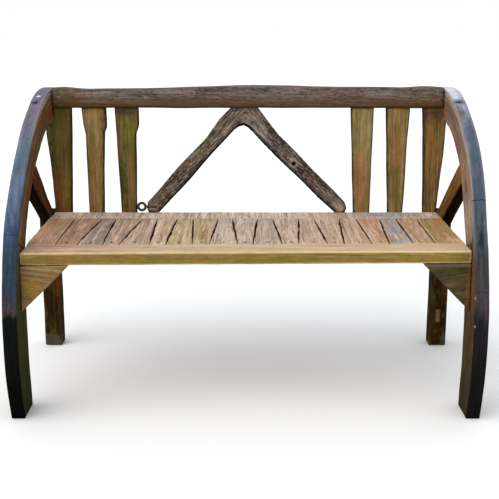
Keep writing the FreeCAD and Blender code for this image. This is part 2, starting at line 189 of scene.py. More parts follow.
def lay(tree, way="straight"):
    """Where a point lies on the timber: straight along the bench's axes, mirrored for the
    forked branch, or round the hub for the rims."""
    spot = here(tree)
    if way == "straight":
        return spot
    parts = add(tree, "SeparateXYZ", {0: spot})
    if way == "forked":
        across = maths(tree, "ABSOLUTE", parts.outputs["X"])
        made = add(tree, "CombineXYZ", {0: across, 1: parts.outputs["Y"], 2: parts.outputs["Z"]})
        return made.outputs[0]
    forward = maths(tree, "SUBTRACT", HUB_Y, parts.outputs["Y"])
    up = maths(tree, "SUBTRACT", parts.outputs["Z"], HUB_Z)
    turn = maths(tree, "ARCTAN2", up, forward)
    around = maths(tree, "MULTIPLY", turn, WHEEL_RADIUS)
    arm = add(tree, "CombineXYZ", {0: forward, 1: up}).outputs[0]
    outward = add(tree, "VectorMath", {0: arm}, operation="LENGTH").outputs["Value"]
    made = add(tree, "CombineXYZ", {0: around, 1: parts.outputs["X"], 2: outward})
    return made.outputs[0]


NO_TURN = (0, 0, 0)


def grain_noise(tree, spot, turn, seed, length, width, detail=4.0, roughness=0.6, twist=0.0):
    """Noise drawn out along the grain; length and width are its features' size in metres."""
    shift = (seed * 1.37, seed * 0.73, seed * 2.11)
    stretched = add(
        tree,
        "Mapping",
        {"Vector": spot, "Location": shift, "Rotation": turn, "Scale": (length, width, width)},
        vector_type="TEXTURE",
    )
    made = add(
        tree,
        "TexNoise",
        {
            "Vector": stretched.outputs[0],
            "Scale": 1.0,
            "Detail": detail,
            "Roughness": roughness,
            "Distortion": twist,
        },
    )
    return made.outputs[0]


def spotted(tree, colour, centre, radius, spot_colour, strength, seed):
    """A soft-edged ragged spot of colour about a point of the bench. Most spots are real marks on
    the wood or iron; some are painted highlight, reflection or shade, as the comments at their
    calls say.
    """
    spot = here(tree)
    place = {"Vector": spot, "Location": centre, "Scale": radius}
    shape = add(tree, "Mapping", place, vector_type="TEXTURE")
    away = add(tree, "VectorMath", {0: shape.outputs[0]}, operation="LENGTH").outputs["Value"]
    ragged = grain_noise(tree, spot, NO_TURN, seed, 0.015, 0.015, 5.0)
    reach = maths(tree, "ADD", away, span(tree, ragged, 0.3, 0.7, -0.5, 0.5))
    share = span(tree, reach, 1.30, 0.20, 0.0, strength)
    return mixed(tree, share, colour, spot_colour)


MOSS_GREEN = tint(84, 88, 34)
CRACK_BROWN = tint(30, 19, 11)


def old_wood(
    name,
    turn,
    seed,
    furrow,
    body,
    pale,
    patch,
    way="straight",
    moss=0.0,
    wear=None,
    worn=0.8,
    crack=0.35,
    relief=0.5,
    contrast=1.0,
    colour_spots=(),
    levels=(),
    ragged=0.05,
    painted_side_shade=None,
    below=None,
    above=None,
    worn_from=None,
    flecks=None,
):
    """Weathered timber. turn sets the grain's direction; patch is a second tone that comes
    and goes; wear is the colour of the arrises: worn wood on most pieces, painted edge shade
    on the back spokes and the top rail, and worn wood with a painted highlight on the front
    rail; levels are (height, blur, colour, strength) of what changes below a height, and
    ragged how far they stray; painted_side_shade is painted shade on faces that look
    sideways, below is painted shade on faces that look down, and above holds the three tones
    of faces that look up; worn_from is the pair of heights between which the worn arrises
    set in; flecks is the colour of small pale spots of dry wood."""
    material, tree, shader = new_material(name)
    spot = lay(tree, way)
    fibre = grain_noise(tree, spot, turn, seed, 0.09, 0.0028, 5.0, 0.65)
    bands = grain_noise(tree, spot, turn, seed + 1, 0.38, 0.012, 3.0, 0.55, 0.6)
    patches = grain_noise(tree, spot, turn, seed + 2, 0.14, 0.045, 5.0, 0.6)
    splits = grain_noise(tree, spot, turn, seed + 3, 0.16, 0.006, 2.0, 0.5, 0.25)
    blotch = grain_noise(tree, spot, turn, seed + 4, 0.022, 0.014, 6.0, 0.7)

    figure = mixed(tree, 0.55, fibre, bands)
    dark_at, pale_at = 0.50 - 0.16 / contrast, 0.50 + 0.18 / contrast
    colour = steps(tree, figure, (dark_at, furrow), (0.50, body), (pale_at, pale))
    colour = mixed(tree, span(tree, patches, 0.46, 0.62, 0.0, 0.8), colour, patch)
    if above is not None:
        top = steps(tree, figure, *zip((dark_at, 0.50, pale_at), above))
        colour = mixed(tree, span(tree, stored(tree, "up"), 0.70, 0.95), colour, top)
    for number, (centre, radius, spot_colour, strength) in enumerate(colour_spots):
        colour = spotted(tree, colour, centre, radius, spot_colour, strength, seed + 10 + number)
    colour = mixed(tree, span(tree, fibre, 0.52, 0.38, 0.0, 0.45), colour, furrow)
    drift = grain_noise(tree, spot, turn, seed + 6, 0.045, 0.022, 5.0, 0.65)
    for noise_used, start, end, most, change in (
        (blotch, 0.52, 0.74, 0.60, (0.50, 0.48, 0.46, 1)),  # grime
        (blotch, 0.48, 0.28, 0.70, (1.25, 1.22, 1.18, 1)),  # bleached by the sun
        (drift, 0.53, 0.70, 0.75, (1.18, 0.93, 0.78, 1)),  # warmer
        (drift, 0.47, 0.30, 0.75, (0.74, 0.86, 0.78, 1)),  # cooler
    ):
        share = span(tree, noise_used, start, end, 0.0, most)
        colour = mixed(tree, share, colour, change, "MULTIPLY")
    if flecks is not None:
        dry = grain_noise(tree, spot, turn, seed + 7, 0.016, 0.005, 4.0, 0.7)
        colour = mixed(tree, span(tree, dry, 0.54, 0.62, 0.0, 0.75), colour, flecks)
        pitted = span(tree, dry, 0.46, 0.38, 0.0, 0.75)
        colour = mixed(tree, pitted, colour, (0.30, 0.26, 0.24, 1), "MULTIPLY")
    if moss:
        green = grain_noise(tree, spot, turn, seed + 5, 0.07, 0.03, 6.0, 0.7)
        colour = mixed(tree, span(tree, green, 0.50, 0.66, 0.0, moss), colour, MOSS_GREEN)
    # Arris colour. On most pieces it is worn wood; on the back spokes and the top rail it is
    # painted edge shade, and on the front rail worn wood with a painted highlight.
    if wear is not None:
        uneven = span(tree, blotch, 0.30, 0.55, 0.35 * worn, worn)
        rubbed = maths(tree, "MULTIPLY", stored(tree, "arris"), uneven)
        if worn_from is not None:
            rubbed = maths(tree, "MULTIPLY", rubbed, span(tree, height_of(tree), *worn_from))
        colour = mixed(tree, rubbed, colour, wear)
    # Painted shade: a dark colour laid on faces that look sideways, such as slat sides in the gaps.
    if painted_side_shade is not None:
        sideways = span(tree, stored(tree, "flank"), 0.80, 0.98, 0.0, 0.92)
        colour = mixed(tree, sideways, colour, painted_side_shade)
    # Painted shade: a near-black laid on faces that look down, where shade falls.
    if below is not None:
        colour = mixed(tree, span(tree, stored(tree, "down"), 0.15, 0.55), colour, below)
    apart = maths(tree, "ABSOLUTE", maths(tree, "SUBTRACT", splits, 0.5))
    split = span(tree, apart, 0.0, 0.010, 1.0, 0.0)
    opened = maths(tree, "MULTIPLY", split, span(tree, patches, 0.50, 0.60))
    colour = mixed(tree, span(tree, opened, 0.0, 1.0, 0.0, crack), colour, CRACK_BROWN)
    if levels:
        stray = span(tree, patches, 0.3, 0.7, -ragged, ragged)
        height = maths(tree, "ADD", height_of(tree), stray)
    for level, blur, soil, strength in levels:
        soiled = span(tree, height, level + blur, level - blur, 0.0, strength)
        colour = mixed(tree, soiled, colour, soil)
    tree.links.new(colour, shader.inputs["Base Color"])

    tree.links.new(span(tree, figure, 0.3, 0.7, 0.92, 0.70), shader.inputs["Roughness"])
    shader.inputs["Specular IOR Level"].default_value = 0.01
    depth = maths(tree, "ADD", maths(tree, "SUBTRACT", figure, opened), blotch)
    bump = add(tree, "Bump", {"Height": depth, "Strength": relief, "Distance": 0.0018})
    tree.links.new(bump.outputs[0], shader.inputs["Normal"])
    return material


# How many furrows, hollows and worn places there are to a metre, roughly.
FURROWS_ACROSS = 150
FURROWS_ALONG = 5
HOLLOWS = 9
WORN_PLACES = 24


def weather(bm, grain, seed, wear=0.0012, nick=0.0022):
    """Furrows along the grain, shallow hollows, and arrises worn unevenly. Stores how near
    each point is to an arris, and how far it looks sideways, down or up, for the material."""
    arris_layer = bm.verts.layers.float.new("arris")
    flank_layer = bm.verts.layers.float.new("flank")
    down_layer = bm.verts.layers.float.new("down")
    up_layer = bm.verts.layers.float.new("up")
    grain = Vector(grain).normalized()
    shift = Vector((seed * 3.1, seed * 1.7, seed * 2.3))
    bm.normal_update()
    moves = []
    for vertex in bm.verts:
        normals = [face.normal for face in vertex.link_faces]
        flat = min((one.dot(other) for one in normals for other in normals), default=1)
        arris = min(1.0, (1.0 - flat) / 0.12)
        along = vertex.co.dot(grain) * grain
        across = vertex.co - along
        furrow = noise.noise(across * FURROWS_ACROSS + along * FURROWS_ALONG + shift)
        hollow = noise.noise(vertex.co * HOLLOWS + shift)
        rubbed = max(0.0, noise.noise(vertex.co * WORN_PLACES + shift) + 0.1)
        inward = wear * (0.4 * furrow + 0.9 * hollow - 0.3) - nick * arris * rubbed
        vertex[arris_layer] = arris
        vertex[flank_layer] = abs(vertex.normal.x)
        vertex[down_layer] = max(0.0, -vertex.normal.z)
        vertex[up_layer] = max(0.0, vertex.normal.z)
        moves.append(vertex.normal * inward)
    for vertex, move in zip(bm.verts, moves):
        vertex.co += move


def ease(value, low, high):
    """0 below low, 1 above high, and an easy curve between."""
    share = min(1.0, max(0.0, (value - low) / (high - low)))
    return share * share * (3 - 2 * share)


LEAN = 0.0075
RAIL_LIFT = 0.007
FRONT_DROOP = 0.0055


def settled(spot):
    """Where age has moved a point: the tops of both wheels lean a little to the right, the
    rail's ends ride up on them, and the front of the seat droops to the left."""
    outer = ease(abs(spot.x), 0.52, 0.59)
    spot.x += LEAN * outer * ease(spot.z, 0.48, 0.70)
    spot.z += RAIL_LIFT * ease(abs(spot.x), 0.46, 0.56) * ease(spot.z, 0.775, 0.81)
    between_rims = 1 - ease(abs(spot.x), 0.583, 0.590)
    front = ease(-spot.y, 0.12, 0.20) * between_rims * ease(spot.z, 0.20, 0.40)
    spot.z -= FRONT_DROOP * front * (0.35 - spot.x) / 0.93
    return spot


def finished(bm, name, nodes, material):
    """Makes the worked mesh a piece of the bench in place of its plain model."""
    for vertex in bm.verts:
        settled(vertex.co)
    for face in bm.faces:
        face.smooth = True
    data = bpy.data.meshes.new(name)
    bm.to_mesh(data)
    bm.free()
    data.materials.append(material)
    piece = bpy.data.objects.new(name, data)
    scene.collection.objects.link(piece)
    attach(piece, "root")
    if nodes:
        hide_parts(*nodes)


def on_wheel(radius, degrees, x=0.0):
    """A point of the wheel; angle 0 is its front and 90 its top."""
    turn = math.radians(degrees)
    return Vector((x, HUB_Y - radius * math.cos(turn), HUB_Z + radius * math.sin(turn)))


def close_ends(bm):
    """Fills open ends with faces."""
    open_edges = [edge for edge in bm.edges if edge.is_boundary]
    bmesh.ops.holes_fill(bm, edges=open_edges, sides=0)
    bmesh.ops.recalc_face_normals(bm, faces=bm.faces)


SECTION_STEP = 0.007


def spun_section(low_x, high_x, inner, outer, start, end, rounding, step_degrees=1.0):
    """A rounded section spun about the hub from one angle to another, closed at its ends."""
    bm = bmesh.new()
    corners = [
        on_wheel(radius, start, x)
        for radius, x in ((inner, low_x), (outer, low_x), (outer, high_x), (inner, high_x))
    ]
    bm.faces.new([bm.verts.new(corner) for corner in corners])
    bmesh.ops.bevel(
        bm,
        geom=bm.verts[:],
        offset=rounding,
        segments=3,
        profile=0.5,
        affect="VERTICES",
        material=-1,
    )
    for edge in [edge for edge in bm.edges if edge.calc_length() > 3 * rounding]:
        bmesh.ops.subdivide_edges(bm, edges=[edge], cuts=int(edge.calc_length() / SECTION_STEP))
    bmesh.ops.delete(bm, geom=bm.faces[:], context="FACES_ONLY")
    bmesh.ops.spin(
        bm,
        geom=bm.verts[:] + bm.edges[:],
        cent=(0, HUB_Y, HUB_Z),
        axis=(1, 0, 0),
        angle=-math.radians(end - start),
        steps=round((end - start) / step_degrees),
    )
    close_ends(bm)
    return bm


def cut_at_floor(bm):
    """Saws a piece off flat at the floor."""
    everything = bm.verts[:] + bm.edges[:] + bm.faces[:]
    bmesh.ops.bisect_plane(
        bm, geom=everything, plane_co=(0, 0, 0), plane_no=(0, 0, 1), clear_inner=True
    )
    close_ends(bm)


# Angles round the wheel are in degrees, from 0 at its front to 90 at its top.
TYRE_THICKNESS = 0.008
FELLOE_JOINT = 26
RIM_TOP = 94
BELOW_FLOOR = -27
DEPTH_JOINT = 0.100
DEPTH_TOP = 0.082
DEPTH_LEG = 0.130
DEPTH_FOOT = 0.106
FOOT_ANGLE = -21
NOMINAL_DEPTH = 0.100


def lower_depth(degrees):
    """Depth of the leg's felloe with its tyre: widest at hub height, less at both ends."""
    end_angle, end_depth = (FELLOE_JOINT, DEPTH_JOINT) if degrees > 0 else (FOOT_ANGLE, DEPTH_FOOT)
    return DEPTH_LEG + (end_depth - DEPTH_LEG) * (degrees / end_angle) ** 2


def upper_depth(degrees):
    """Depth of the upper felloe with its tyre: tapering to the top of the wheel."""
    share = (degrees - FELLOE_JOINT) / (RIM_TOP - FELLOE_JOINT)
    return DEPTH_JOINT + (DEPTH_TOP - DEPTH_JOINT) * share


def deepen(bm, depth):
    """Moves a spun piece's inner side so that its depth changes along the rim."""
    outer = WHEEL_RADIUS - TYRE_THICKNESS
    for vertex in bm.verts:
        arm = vertex.co - Vector((vertex.co.x, HUB_Y, HUB_Z))
        degrees = math.degrees(math.atan2(arm.z, -arm.y))
        share = (outer - arm.length) / (NOMINAL_DEPTH - TYRE_THICKNESS)
        radius = outer - share * (depth(degrees) - TYRE_THICKNESS)
        vertex.co = on_wheel(radius, degrees, vertex.co.x)


UPPER_TONES = {
    "left": (tint(54, 36, 22), tint(104, 80, 56), tint(132, 112, 86), tint(108, 66, 42)),
    "right": (tint(78, 60, 48), tint(136, 114, 98), tint(172, 152, 136), tint(124, 94, 74)),
}
LOWER_TONES = {
    "left": (tint(48, 34, 18), tint(92, 74, 48), tint(116, 98, 68), tint(80, 62, 34)),
    "right": (tint(40, 26, 12), tint(88, 62, 36), tint(118, 90, 56), tint(66, 48, 30)),
}
RIM_PALE_ARRIS = tint(186, 164, 146)
RIM_INSIDE_X = 0.583
FELLOE_ARRIS = 0.004
JOINT_GAP = 0.1
inner = WHEEL_RADIUS - NOMINAL_DEPTH
outer = WHEEL_RADIUS - TYRE_THICKNESS

for side, seed, sign in (("left", 3, -1), ("right", 8, 1)):
    low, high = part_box(f"{side}_tyre")
    inside = sign * RIM_INSIDE_X
    joint = FELLOE_JOINT + JOINT_GAP
    upper = spun_section(low.x, high.x, inner, outer, joint, RIM_TOP, FELLOE_ARRIS)
    deepen(upper, upper_depth)
    weather(upper, (0, 0.87, 0.5), seed)
    top = on_wheel(0.54, 84, inside)
    middle = on_wheel(0.53, 50, inside)
    if side == "left":
        colour_spots = [
            (top, (0.04, 0.05, 0.03), tint(120, 62, 36), 0.7),
            (middle, (0.04, 0.05, 0.06), tint(100, 54, 34), 0.7),
            (on_wheel(0.53, 67, inside), (0.04, 0.06, 0.05), tint(92, 82, 50), 0.7),
        ]
    else:
        colour_spots = [
            (top, (0.04, 0.05, 0.03), tint(150, 104, 66), 0.7),
            (middle, (0.04, 0.05, 0.05), tint(150, 118, 84), 0.7),
            (on_wheel(0.53, 64, inside), (0.04, 0.05, 0.04), tint(140, 100, 98), 0.7),
            (on_wheel(0.54, 34, inside), (0.04, 0.06, 0.07), tint(172, 150, 132), 0.85),
        ]
    wood = old_wood(
        f"{side}_upper_felloe_wood",
        NO_TURN,
        seed,
        *UPPER_TONES[side],
        way="rim",
        moss=0.25 if side == "left" else 0.0,
        wear=RIM_PALE_ARRIS,
        contrast=1.4,
        worn_from=(0.66, 0.78) if side == "left" else (0.50, 0.66),
        colour_spots=colour_spots,
    )
    finished(upper, f"{side}_upper_rim", [f"{side}_upper_felloe"], wood)

    joint = FELLOE_JOINT - JOINT_GAP
    lower = spun_section(low.x, high.x, inner, outer, BELOW_FLOOR, joint, FELLOE_ARRIS)
    deepen(lower, lower_depth)
    cut_at_floor(lower)
    weather(lower, (0, 0, 1), seed + 1)
    gold = 0.0 if side == "left" else 0.8
    wood = old_wood(
        f"{side}_lower_felloe_wood",
        NO_TURN,
        seed + 20,
        *LOWER_TONES[side],
        way="rim",
        moss=0.6 if side == "left" else 0.25,
        wear=tint(104, 84, 58),
        worn=0.5,
        contrast=1.6,
        flecks=tint(96, 92, 56) if side == "left" else tint(112, 94, 66),
        colour_spots=[(on_wheel(0.54, 17, inside), (0.03, 0.10, 0.06), tint(128, 84, 36), gold)],
        levels=[
            (0.42, 0.06, tint(52, 50, 22), 0.72 if side == "left" else 0.0),
            (0.30, 0.06, tint(42, 46, 20) if side == "left" else tint(60, 48, 32), 0.55),
            (0.12, 0.06, tint(35, 39, 20) if side == "left" else tint(42, 42, 30), 0.7),
        ],
    )
    finished(lower, f"{side}_leg_rim", [f"{side}_lower_felloe"], wood)

# ---- Tyres ----
# A hoop of wrought iron, shrunk on hot and bolted to the felloes. It is worn smooth and
# blue-grey on top, stained brown along its edges, and nearly black towards the floor.


TYRE_PIT = tint(30, 28, 28)
TYRE_PALE_EDGE = tint(176, 160, 150)
TYRE_MARK = tint(26, 28, 32)


def tyre_iron(name, seed, heights, marks, bared, colour_spots):
    """Old tyre iron. heights are the colours up the wheel; marks are the angles of cross
    lines and how dark they are; bared is the pair of heights where its edges turn pale."""
    material, tree, shader = new_material(name)
    around = lay(tree, "rim")
    sheen = grain_noise(tree, around, NO_TURN, seed, 0.16, 0.007, 4.0, 0.55)
    cloud = grain_noise(tree, around, NO_TURN, seed + 1, 0.10, 0.03, 4.0, 0.55)
    pits = grain_noise(tree, around, NO_TURN, seed + 2, 0.005, 0.004, 4.0, 0.7)
    scale = grain_noise(tree, around, NO_TURN, seed + 3, 0.035, 0.012, 6.0, 0.7)
    up = height_of(tree)
    ragged = maths(tree, "ADD", up, span(tree, cloud, 0.3, 0.7, -0.05, 0.05))
    colour = steps(tree, span(tree, ragged, 0.0, 0.84), *heights)
    dark = mixed(tree, 1.0, colour, (0.55, 0.56, 0.60, 1), "MULTIPLY")
    light = mixed(tree, 1.0, colour, (1.45, 1.42, 1.38, 1), "MULTIPLY")
    colour = mixed(tree, span(tree, sheen, 0.50, 0.30, 0.0, 0.7), colour, dark)
    colour = mixed(tree, span(tree, sheen, 0.52, 0.70, 0.0, 0.7), colour, light)
    violet = (1.32, 0.86, 1.16, 1)
    colour = mixed(tree, span(tree, cloud, 0.50, 0.62, 0.0, 0.8), colour, violet, "MULTIPLY")
    colour = mixed(tree, span(tree, scale, 0.50, 0.64, 0.0, 0.65), colour, dark)
    for number, (centre, radius, spot_colour, strength) in enumerate(colour_spots):
        colour = spotted(tree, colour, centre, radius, spot_colour, strength, seed + 10 + number)
    colour = mixed(tree, span(tree, pits, 0.62, 0.74, 0.0, 0.7), colour, TYRE_PIT)
    edge = maths(tree, "MULTIPLY", stored(tree, "arris"), span(tree, scale, 0.35, 0.55, 0.2, 0.9))
    rubbed = maths(tree, "MULTIPLY", edge, span(tree, up, *bared))
    colour = mixed(tree, rubbed, colour, TYRE_PALE_EDGE)
    turned = add(tree, "SeparateXYZ", {0: around}).outputs["X"]
    groove = None
    for angle, depth in marks:
        away = maths(tree, "SUBTRACT", turned, WHEEL_RADIUS * math.radians(angle))
        away = maths(tree, "ADD", away, span(tree, cloud, 0.3, 0.7, -0.003, 0.003))
        line = span(tree, maths(tree, "ABSOLUTE", away), 0.0018, 0.0006, 0.0, depth)
        colour = mixed(tree, line, colour, TYRE_MARK)
        groove = line if groove is None else maths(tree, "MAXIMUM", groove, line)
    tree.links.new(colour, shader.inputs["Base Color"])
    tree.links.new(span(tree, scale, 0.3, 0.7, 0.46, 0.78), shader.inputs["Roughness"])
    tree.links.new(span(tree, up, 0.25, 0.55, 0.0, 0.5), shader.inputs["Metallic"])
    tree.links.new(span(tree, up, 0.25, 0.55, 0.0, 0.1), shader.inputs["Specular IOR Level"])
    height = maths(tree, "SUBTRACT", mixed(tree, 0.4, scale, pits), groove)
    bump = add(tree, "Bump", {"Height": height, "Strength": 0.4, "Distance": 0.0015})
    tree.links.new(bump.outputs[0], shader.inputs["Normal"])
    return material


TYRE_HEIGHTS = {
    "left": (
        (0.0, tint(10, 10, 8)),
        (0.20, tint(14, 17, 13)),
        (0.34, tint(14, 20, 17)),
        (0.39, tint(62, 60, 54)),
        (0.46, tint(44, 60, 68)),
        (0.58, tint(56, 74, 98)),
        (0.70, tint(88, 106, 124)),
        (0.84, tint(100, 116, 128)),
        (0.93, tint(104, 110, 122)),
        (1.0, tint(112, 110, 122)),
    ),
    "right": (
        (0.0, tint(18, 18, 16)),
        (0.20, tint(24, 25, 24)),
        (0.33, tint(32, 33, 34)),
        (0.42, tint(62, 62, 62)),
        (0.50, tint(58, 60, 60)),
        (0.60, tint(72, 84, 94)),
        (0.72, tint(68, 84, 98)),
        (0.84, tint(88, 104, 116)),
        (0.93, tint(140, 158, 170)),
        (1.0, tint(158, 164, 174)),
    ),
}
TYRE_MARKS = {"left": ((24.5, 0.35), (27.5, 0.5)), "right": ((36.5, 0.9), (13.5, 0.5))}
TYRE_BARED = {"left": (0.66, 0.76), "right": (0.42, 0.62)}
BOLT_ANGLES = (-14, 12, 32, 56, 78)
left_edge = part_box("left_tyre")[0].x
right_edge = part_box("right_tyre")[0].x
TYRE_PITS = {
    "left": ((on_wheel(WHEEL_RADIUS, 74.3, left_edge + 0.014), 0.011, 0.004),),
    "right": (
        (on_wheel(WHEEL_RADIUS, 74.5, right_edge + 0.010), 0.010, 0.004),
        (on_wheel(WHEEL_RADIUS, 74.2, right_edge + 0.020), 0.010, 0.004),
        (on_wheel(WHEEL_RADIUS, 26, right_edge + 0.025), 0.016, 0.002),
    ),
}
TYRE_IRON = {}

TYRE_ARRIS = 0.0025
# Painted shadow: near-black laid inside the dented pits near each tyre's top, just under the iron's
# surface.
PIT_SHADOW_RADIUS = 0.597
PIT_SHADOW = tint(4, 4, 6)

for side, seed in (("left", 40), ("right", 46)):
    low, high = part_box(f"{side}_tyre")
    band = spun_section(
        low.x, high.x, outer, WHEEL_RADIUS, BELOW_FLOOR, RIM_TOP, TYRE_ARRIS, step_degrees=0.5
    )
    cut_at_floor(band)
    weather(band, (0, 0, 1), seed, wear=0.0008, nick=0.0012)
    for centre, reach, depth in TYRE_PITS[side]:
        for vertex in band.verts:
            away = (vertex.co - centre).length / reach
            arm = vertex.co - Vector((vertex.co.x, HUB_Y, HUB_Z))
            vertex.co -= arm.normalized() * depth * (1 - ease(away, 0.5, 1.0))
    middle = (low.x + high.x) / 2
    pit = low.x + 0.014
    if side == "left":
        bolt_glint = settled(on_wheel(WHEEL_RADIUS, BOLT_ANGLES[-1], middle))
        pit_shadow_spot = settled(on_wheel(PIT_SHADOW_RADIUS, 74.0, pit))
        colour_spots = [
            (on_wheel(WHEEL_RADIUS, 80, middle), (0.03, 0.06, 0.03), tint(112, 104, 128), 0.6),
            # Painted shadow in the pit.
            (pit_shadow_spot, (0.011, 0.013, 0.011), PIT_SHADOW, 1.0),
            # Painted highlight: a near-white glint on the top bolt's head.
            (bolt_glint, (0.007, 0.008, 0.008), tint(228, 230, 242), 1.0),
        ]
    else:
        pit_shadow_spot = settled(on_wheel(PIT_SHADOW_RADIUS, 74.3, pit))
        rusty_spot = on_wheel(WHEEL_RADIUS, 68, low.x + 0.012)
        colour_spots = [
            # Painted reflection: two pale patches on the tyre's flat top stand in for the sky
            # shining on it.
            (on_wheel(WHEEL_RADIUS, 86, middle), (0.030, 0.075, 0.04), tint(222, 218, 230), 1.0),
            (on_wheel(WHEEL_RADIUS, 79, middle), (0.020, 0.040, 0.03), tint(214, 210, 224), 1.0),
            (rusty_spot, (0.018, 0.07, 0.04), tint(104, 84, 74), 0.8),
            # Painted shadow in the pit.
            (pit_shadow_spot, (0.017, 0.014, 0.011), PIT_SHADOW, 1.0),
            (on_wheel(WHEEL_RADIUS, 60, middle), (0.02, 0.03, 0.03), tint(92, 80, 104), 0.6),
            (on_wheel(WHEEL_RADIUS, 26, middle), (0.010, 0.02, 0.02), tint(30, 30, 32), 0.9),
            (on_wheel(WHEEL_RADIUS, 12, low.x), (0.004, 0.012, 0.005), tint(160, 150, 140), 0.9),
            (on_wheel(WHEEL_RADIUS, 5, low.x), (0.004, 0.012, 0.004), tint(160, 150, 140), 0.9),
        ]
    iron = tyre_iron(
        f"{side}_tyre_iron",
        seed,
        TYRE_HEIGHTS[side],
        TYRE_MARKS[side],
        TYRE_BARED[side],
        colour_spots,
    )
    TYRE_IRON[side] = iron
    finished(band, f"{side}_iron_tyre", [f"{side}_tyre"], iron)

# ---- Bolts, screws, nails and dowels ----
# Forged bolts hold the tyres, coach screws the frame, and round nails the spokes, all
# rusted. The dowels that line up the felloes are hidden in their joints.


def rusted_iron(name, seed, tones):
    """Rusted iron; tones run from its dark to its brown."""
    material, tree, shader = new_material(name)
    rust = grain_noise(tree, here(tree), NO_TURN, seed, 0.006, 0.006, 5.0, 0.7)
    colour = steps(tree, rust, *zip((0.35, 0.55, 0.70), tones))
    tree.links.new(colour, shader.inputs["Base Color"])
    tree.links.new(span(tree, rust, 0.3, 0.7, 0.42, 0.85), shader.inputs["Roughness"])
    shader.inputs["Metallic"].default_value = 0.4
    bump = add(tree, "Bump", {"Height": rust, "Strength": 0.4, "Distance": 0.0008})
    tree.links.new(bump.outputs[0], shader.inputs["Normal"])
    return material


def heads(places, radius, height):
    """Forged domed heads on short shanks, each at a place and pointing a way. They have no
    worn arrises, and their layer says so."""
    every = bmesh.new()
    profile = (
        (0.0, height),
        (0.45 * radius, 0.92 * height),
        (0.80 * radius, 0.62 * height),
        (radius, 0.15 * height),
        (radius * 0.98, -0.001),
        (0.5 * radius, -0.001),
        (0.5 * radius, -0.006),
        (0.0, -0.006),
    )
    for place, way in places:
        bm = bmesh.new()
        line = [bm.verts.new((across, 0, up)) for across, up in profile]
        for one, other in zip(line, line[1:]):
            bm.edges.new((one, other))
        bmesh.ops.spin(
            bm,
            geom=bm.verts[:] + bm.edges[:],
            cent=(0, 0, 0),
            axis=(0, 0, 1),
            angle=math.tau,
            steps=16,
            use_merge=True,
        )
        bmesh.ops.remove_doubles(bm, verts=bm.verts, dist=0.00002)
        bmesh.ops.recalc_face_normals(bm, faces=bm.faces)
        turn = Vector((0, 0, 1)).rotation_difference(Vector(way)).to_matrix()
        bmesh.ops.rotate(bm, cent=(0, 0, 0), matrix=turn, verts=bm.verts)
        bmesh.ops.translate(bm, verts=bm.verts, vec=place)
        whole = bpy.data.meshes.new("head")
        bm.to_mesh(whole)
        bm.free()
        every.from_mesh(whole)
        bpy.data.meshes.remove(whole)
    every.verts.layers.float.new("arris")
    return every


BOLT_HEAD = 0.0075
BOLT_PROUD = 0.0012
SCREW_HEAD = 0.010
SCREW_PROUD = 0.005
SCREW_PLACES = ((0.255, 0.792), (-0.225, 0.433), (0.273, 0.386))
iron = rusted_iron("rusted_iron", 7, (tint(34, 30, 28), tint(70, 58, 50), tint(98, 72, 52)))
NAIL_TONES = (tint(84, 64, 52), tint(122, 98, 80), tint(146, 120, 100))
nail_iron = rusted_iron("nail_iron", 11, NAIL_TONES)
for side, sign in (("left", -1), ("right", 1)):
    low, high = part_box(f"{side}_tyre")
    middle = (low.x + high.x) / 2
    places = []
    for angle in BOLT_ANGLES:
        spot = on_wheel(WHEEL_RADIUS - 0.0005, angle, middle)
        places.append((spot, spot - Vector((middle, HUB_Y, HUB_Z))))
    bm = heads(places, BOLT_HEAD, BOLT_PROUD)
    finished(bm, f"{side}_bolt_heads", [f"{side}_tyre_bolts"], TYRE_IRON[side])

    outer_face = low.x if sign < 0 else high.x
    places = []
    for y, z in SCREW_PLACES:
        places.append((Vector((outer_face, y, z)), (sign, 0, 0)))
    bm = heads(places, SCREW_HEAD, SCREW_PROUD)
    finished(bm, f"{side}_screw_heads", [f"{side}_frame_screws"], iron)


def coated(node, material):
    """Gives a plain part of the model its finish."""
    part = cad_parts[node]
    part.data.materials.clear()
    part.data.materials.append(material)


for node in ("seat_nails", "back_slat_nails", "left_felloe_dowel", "right_felloe_dowel"):
    coated(node, nail_iron)

# ---- Spoke braces ----
# A tapered oak spoke runs from each rim down to the back leg, wide end up. It is coped to
# the rim and butts on the leg.
WIDE = Vector((1, 0, 0))
DEEP = Vector((0, 1, 0))
TALL = Vector((0, 0, 1))


def slices(bm, *cuts):
    """Cuts a mesh across so that its surface can be worked. Each cut is a direction and how
    far apart its planes are."""
    for direction, spacing in cuts:
        way = direction.normalized()
        places = [vertex.co.dot(way) for vertex in bm.verts]
        count = max(1, round((max(places) - min(places)) / spacing))
        for number in range(1, count):
            at = min(places) + (max(places) - min(places)) * number / count
            everything = bm.verts[:] + bm.edges[:] + bm.faces[:]
            bmesh.ops.bisect_plane(bm, geom=everything, plane_co=way * at, plane_no=way)


def prism(corners, axis, start, finish):
    """A board with this outline, between two places along an axis."""
    bm = bmesh.new()
    spots = []
    for first, second in corners:
        spot = [first, second]
        spot.insert(axis, start)
        spots.append(bm.verts.new(spot))
    face = bm.faces.new(spots)
    swept = bmesh.ops.extrude_face_region(bm, geom=[face])["geom"]
    shift = Vector((0, 0, 0))
    shift[axis] = finish - start
    moved = [item for item in swept if isinstance(item, bmesh.types.BMVert)]
    bmesh.ops.translate(bm, verts=moved, vec=shift)
    bmesh.ops.recalc_face_normals(bm, faces=bm.faces)
    return bm


def rounded(bm, radius, segments=3, edges=None):
    """Eases the arrises of a board."""
    bmesh.ops.bevel(
        bm,
        geom=bm.edges[:] if edges is None else edges,
        offset=radius,
        segments=segments,
        profile=0.5,
        affect="EDGES",
        material=-1,
        clamp_overlap=True,
    )


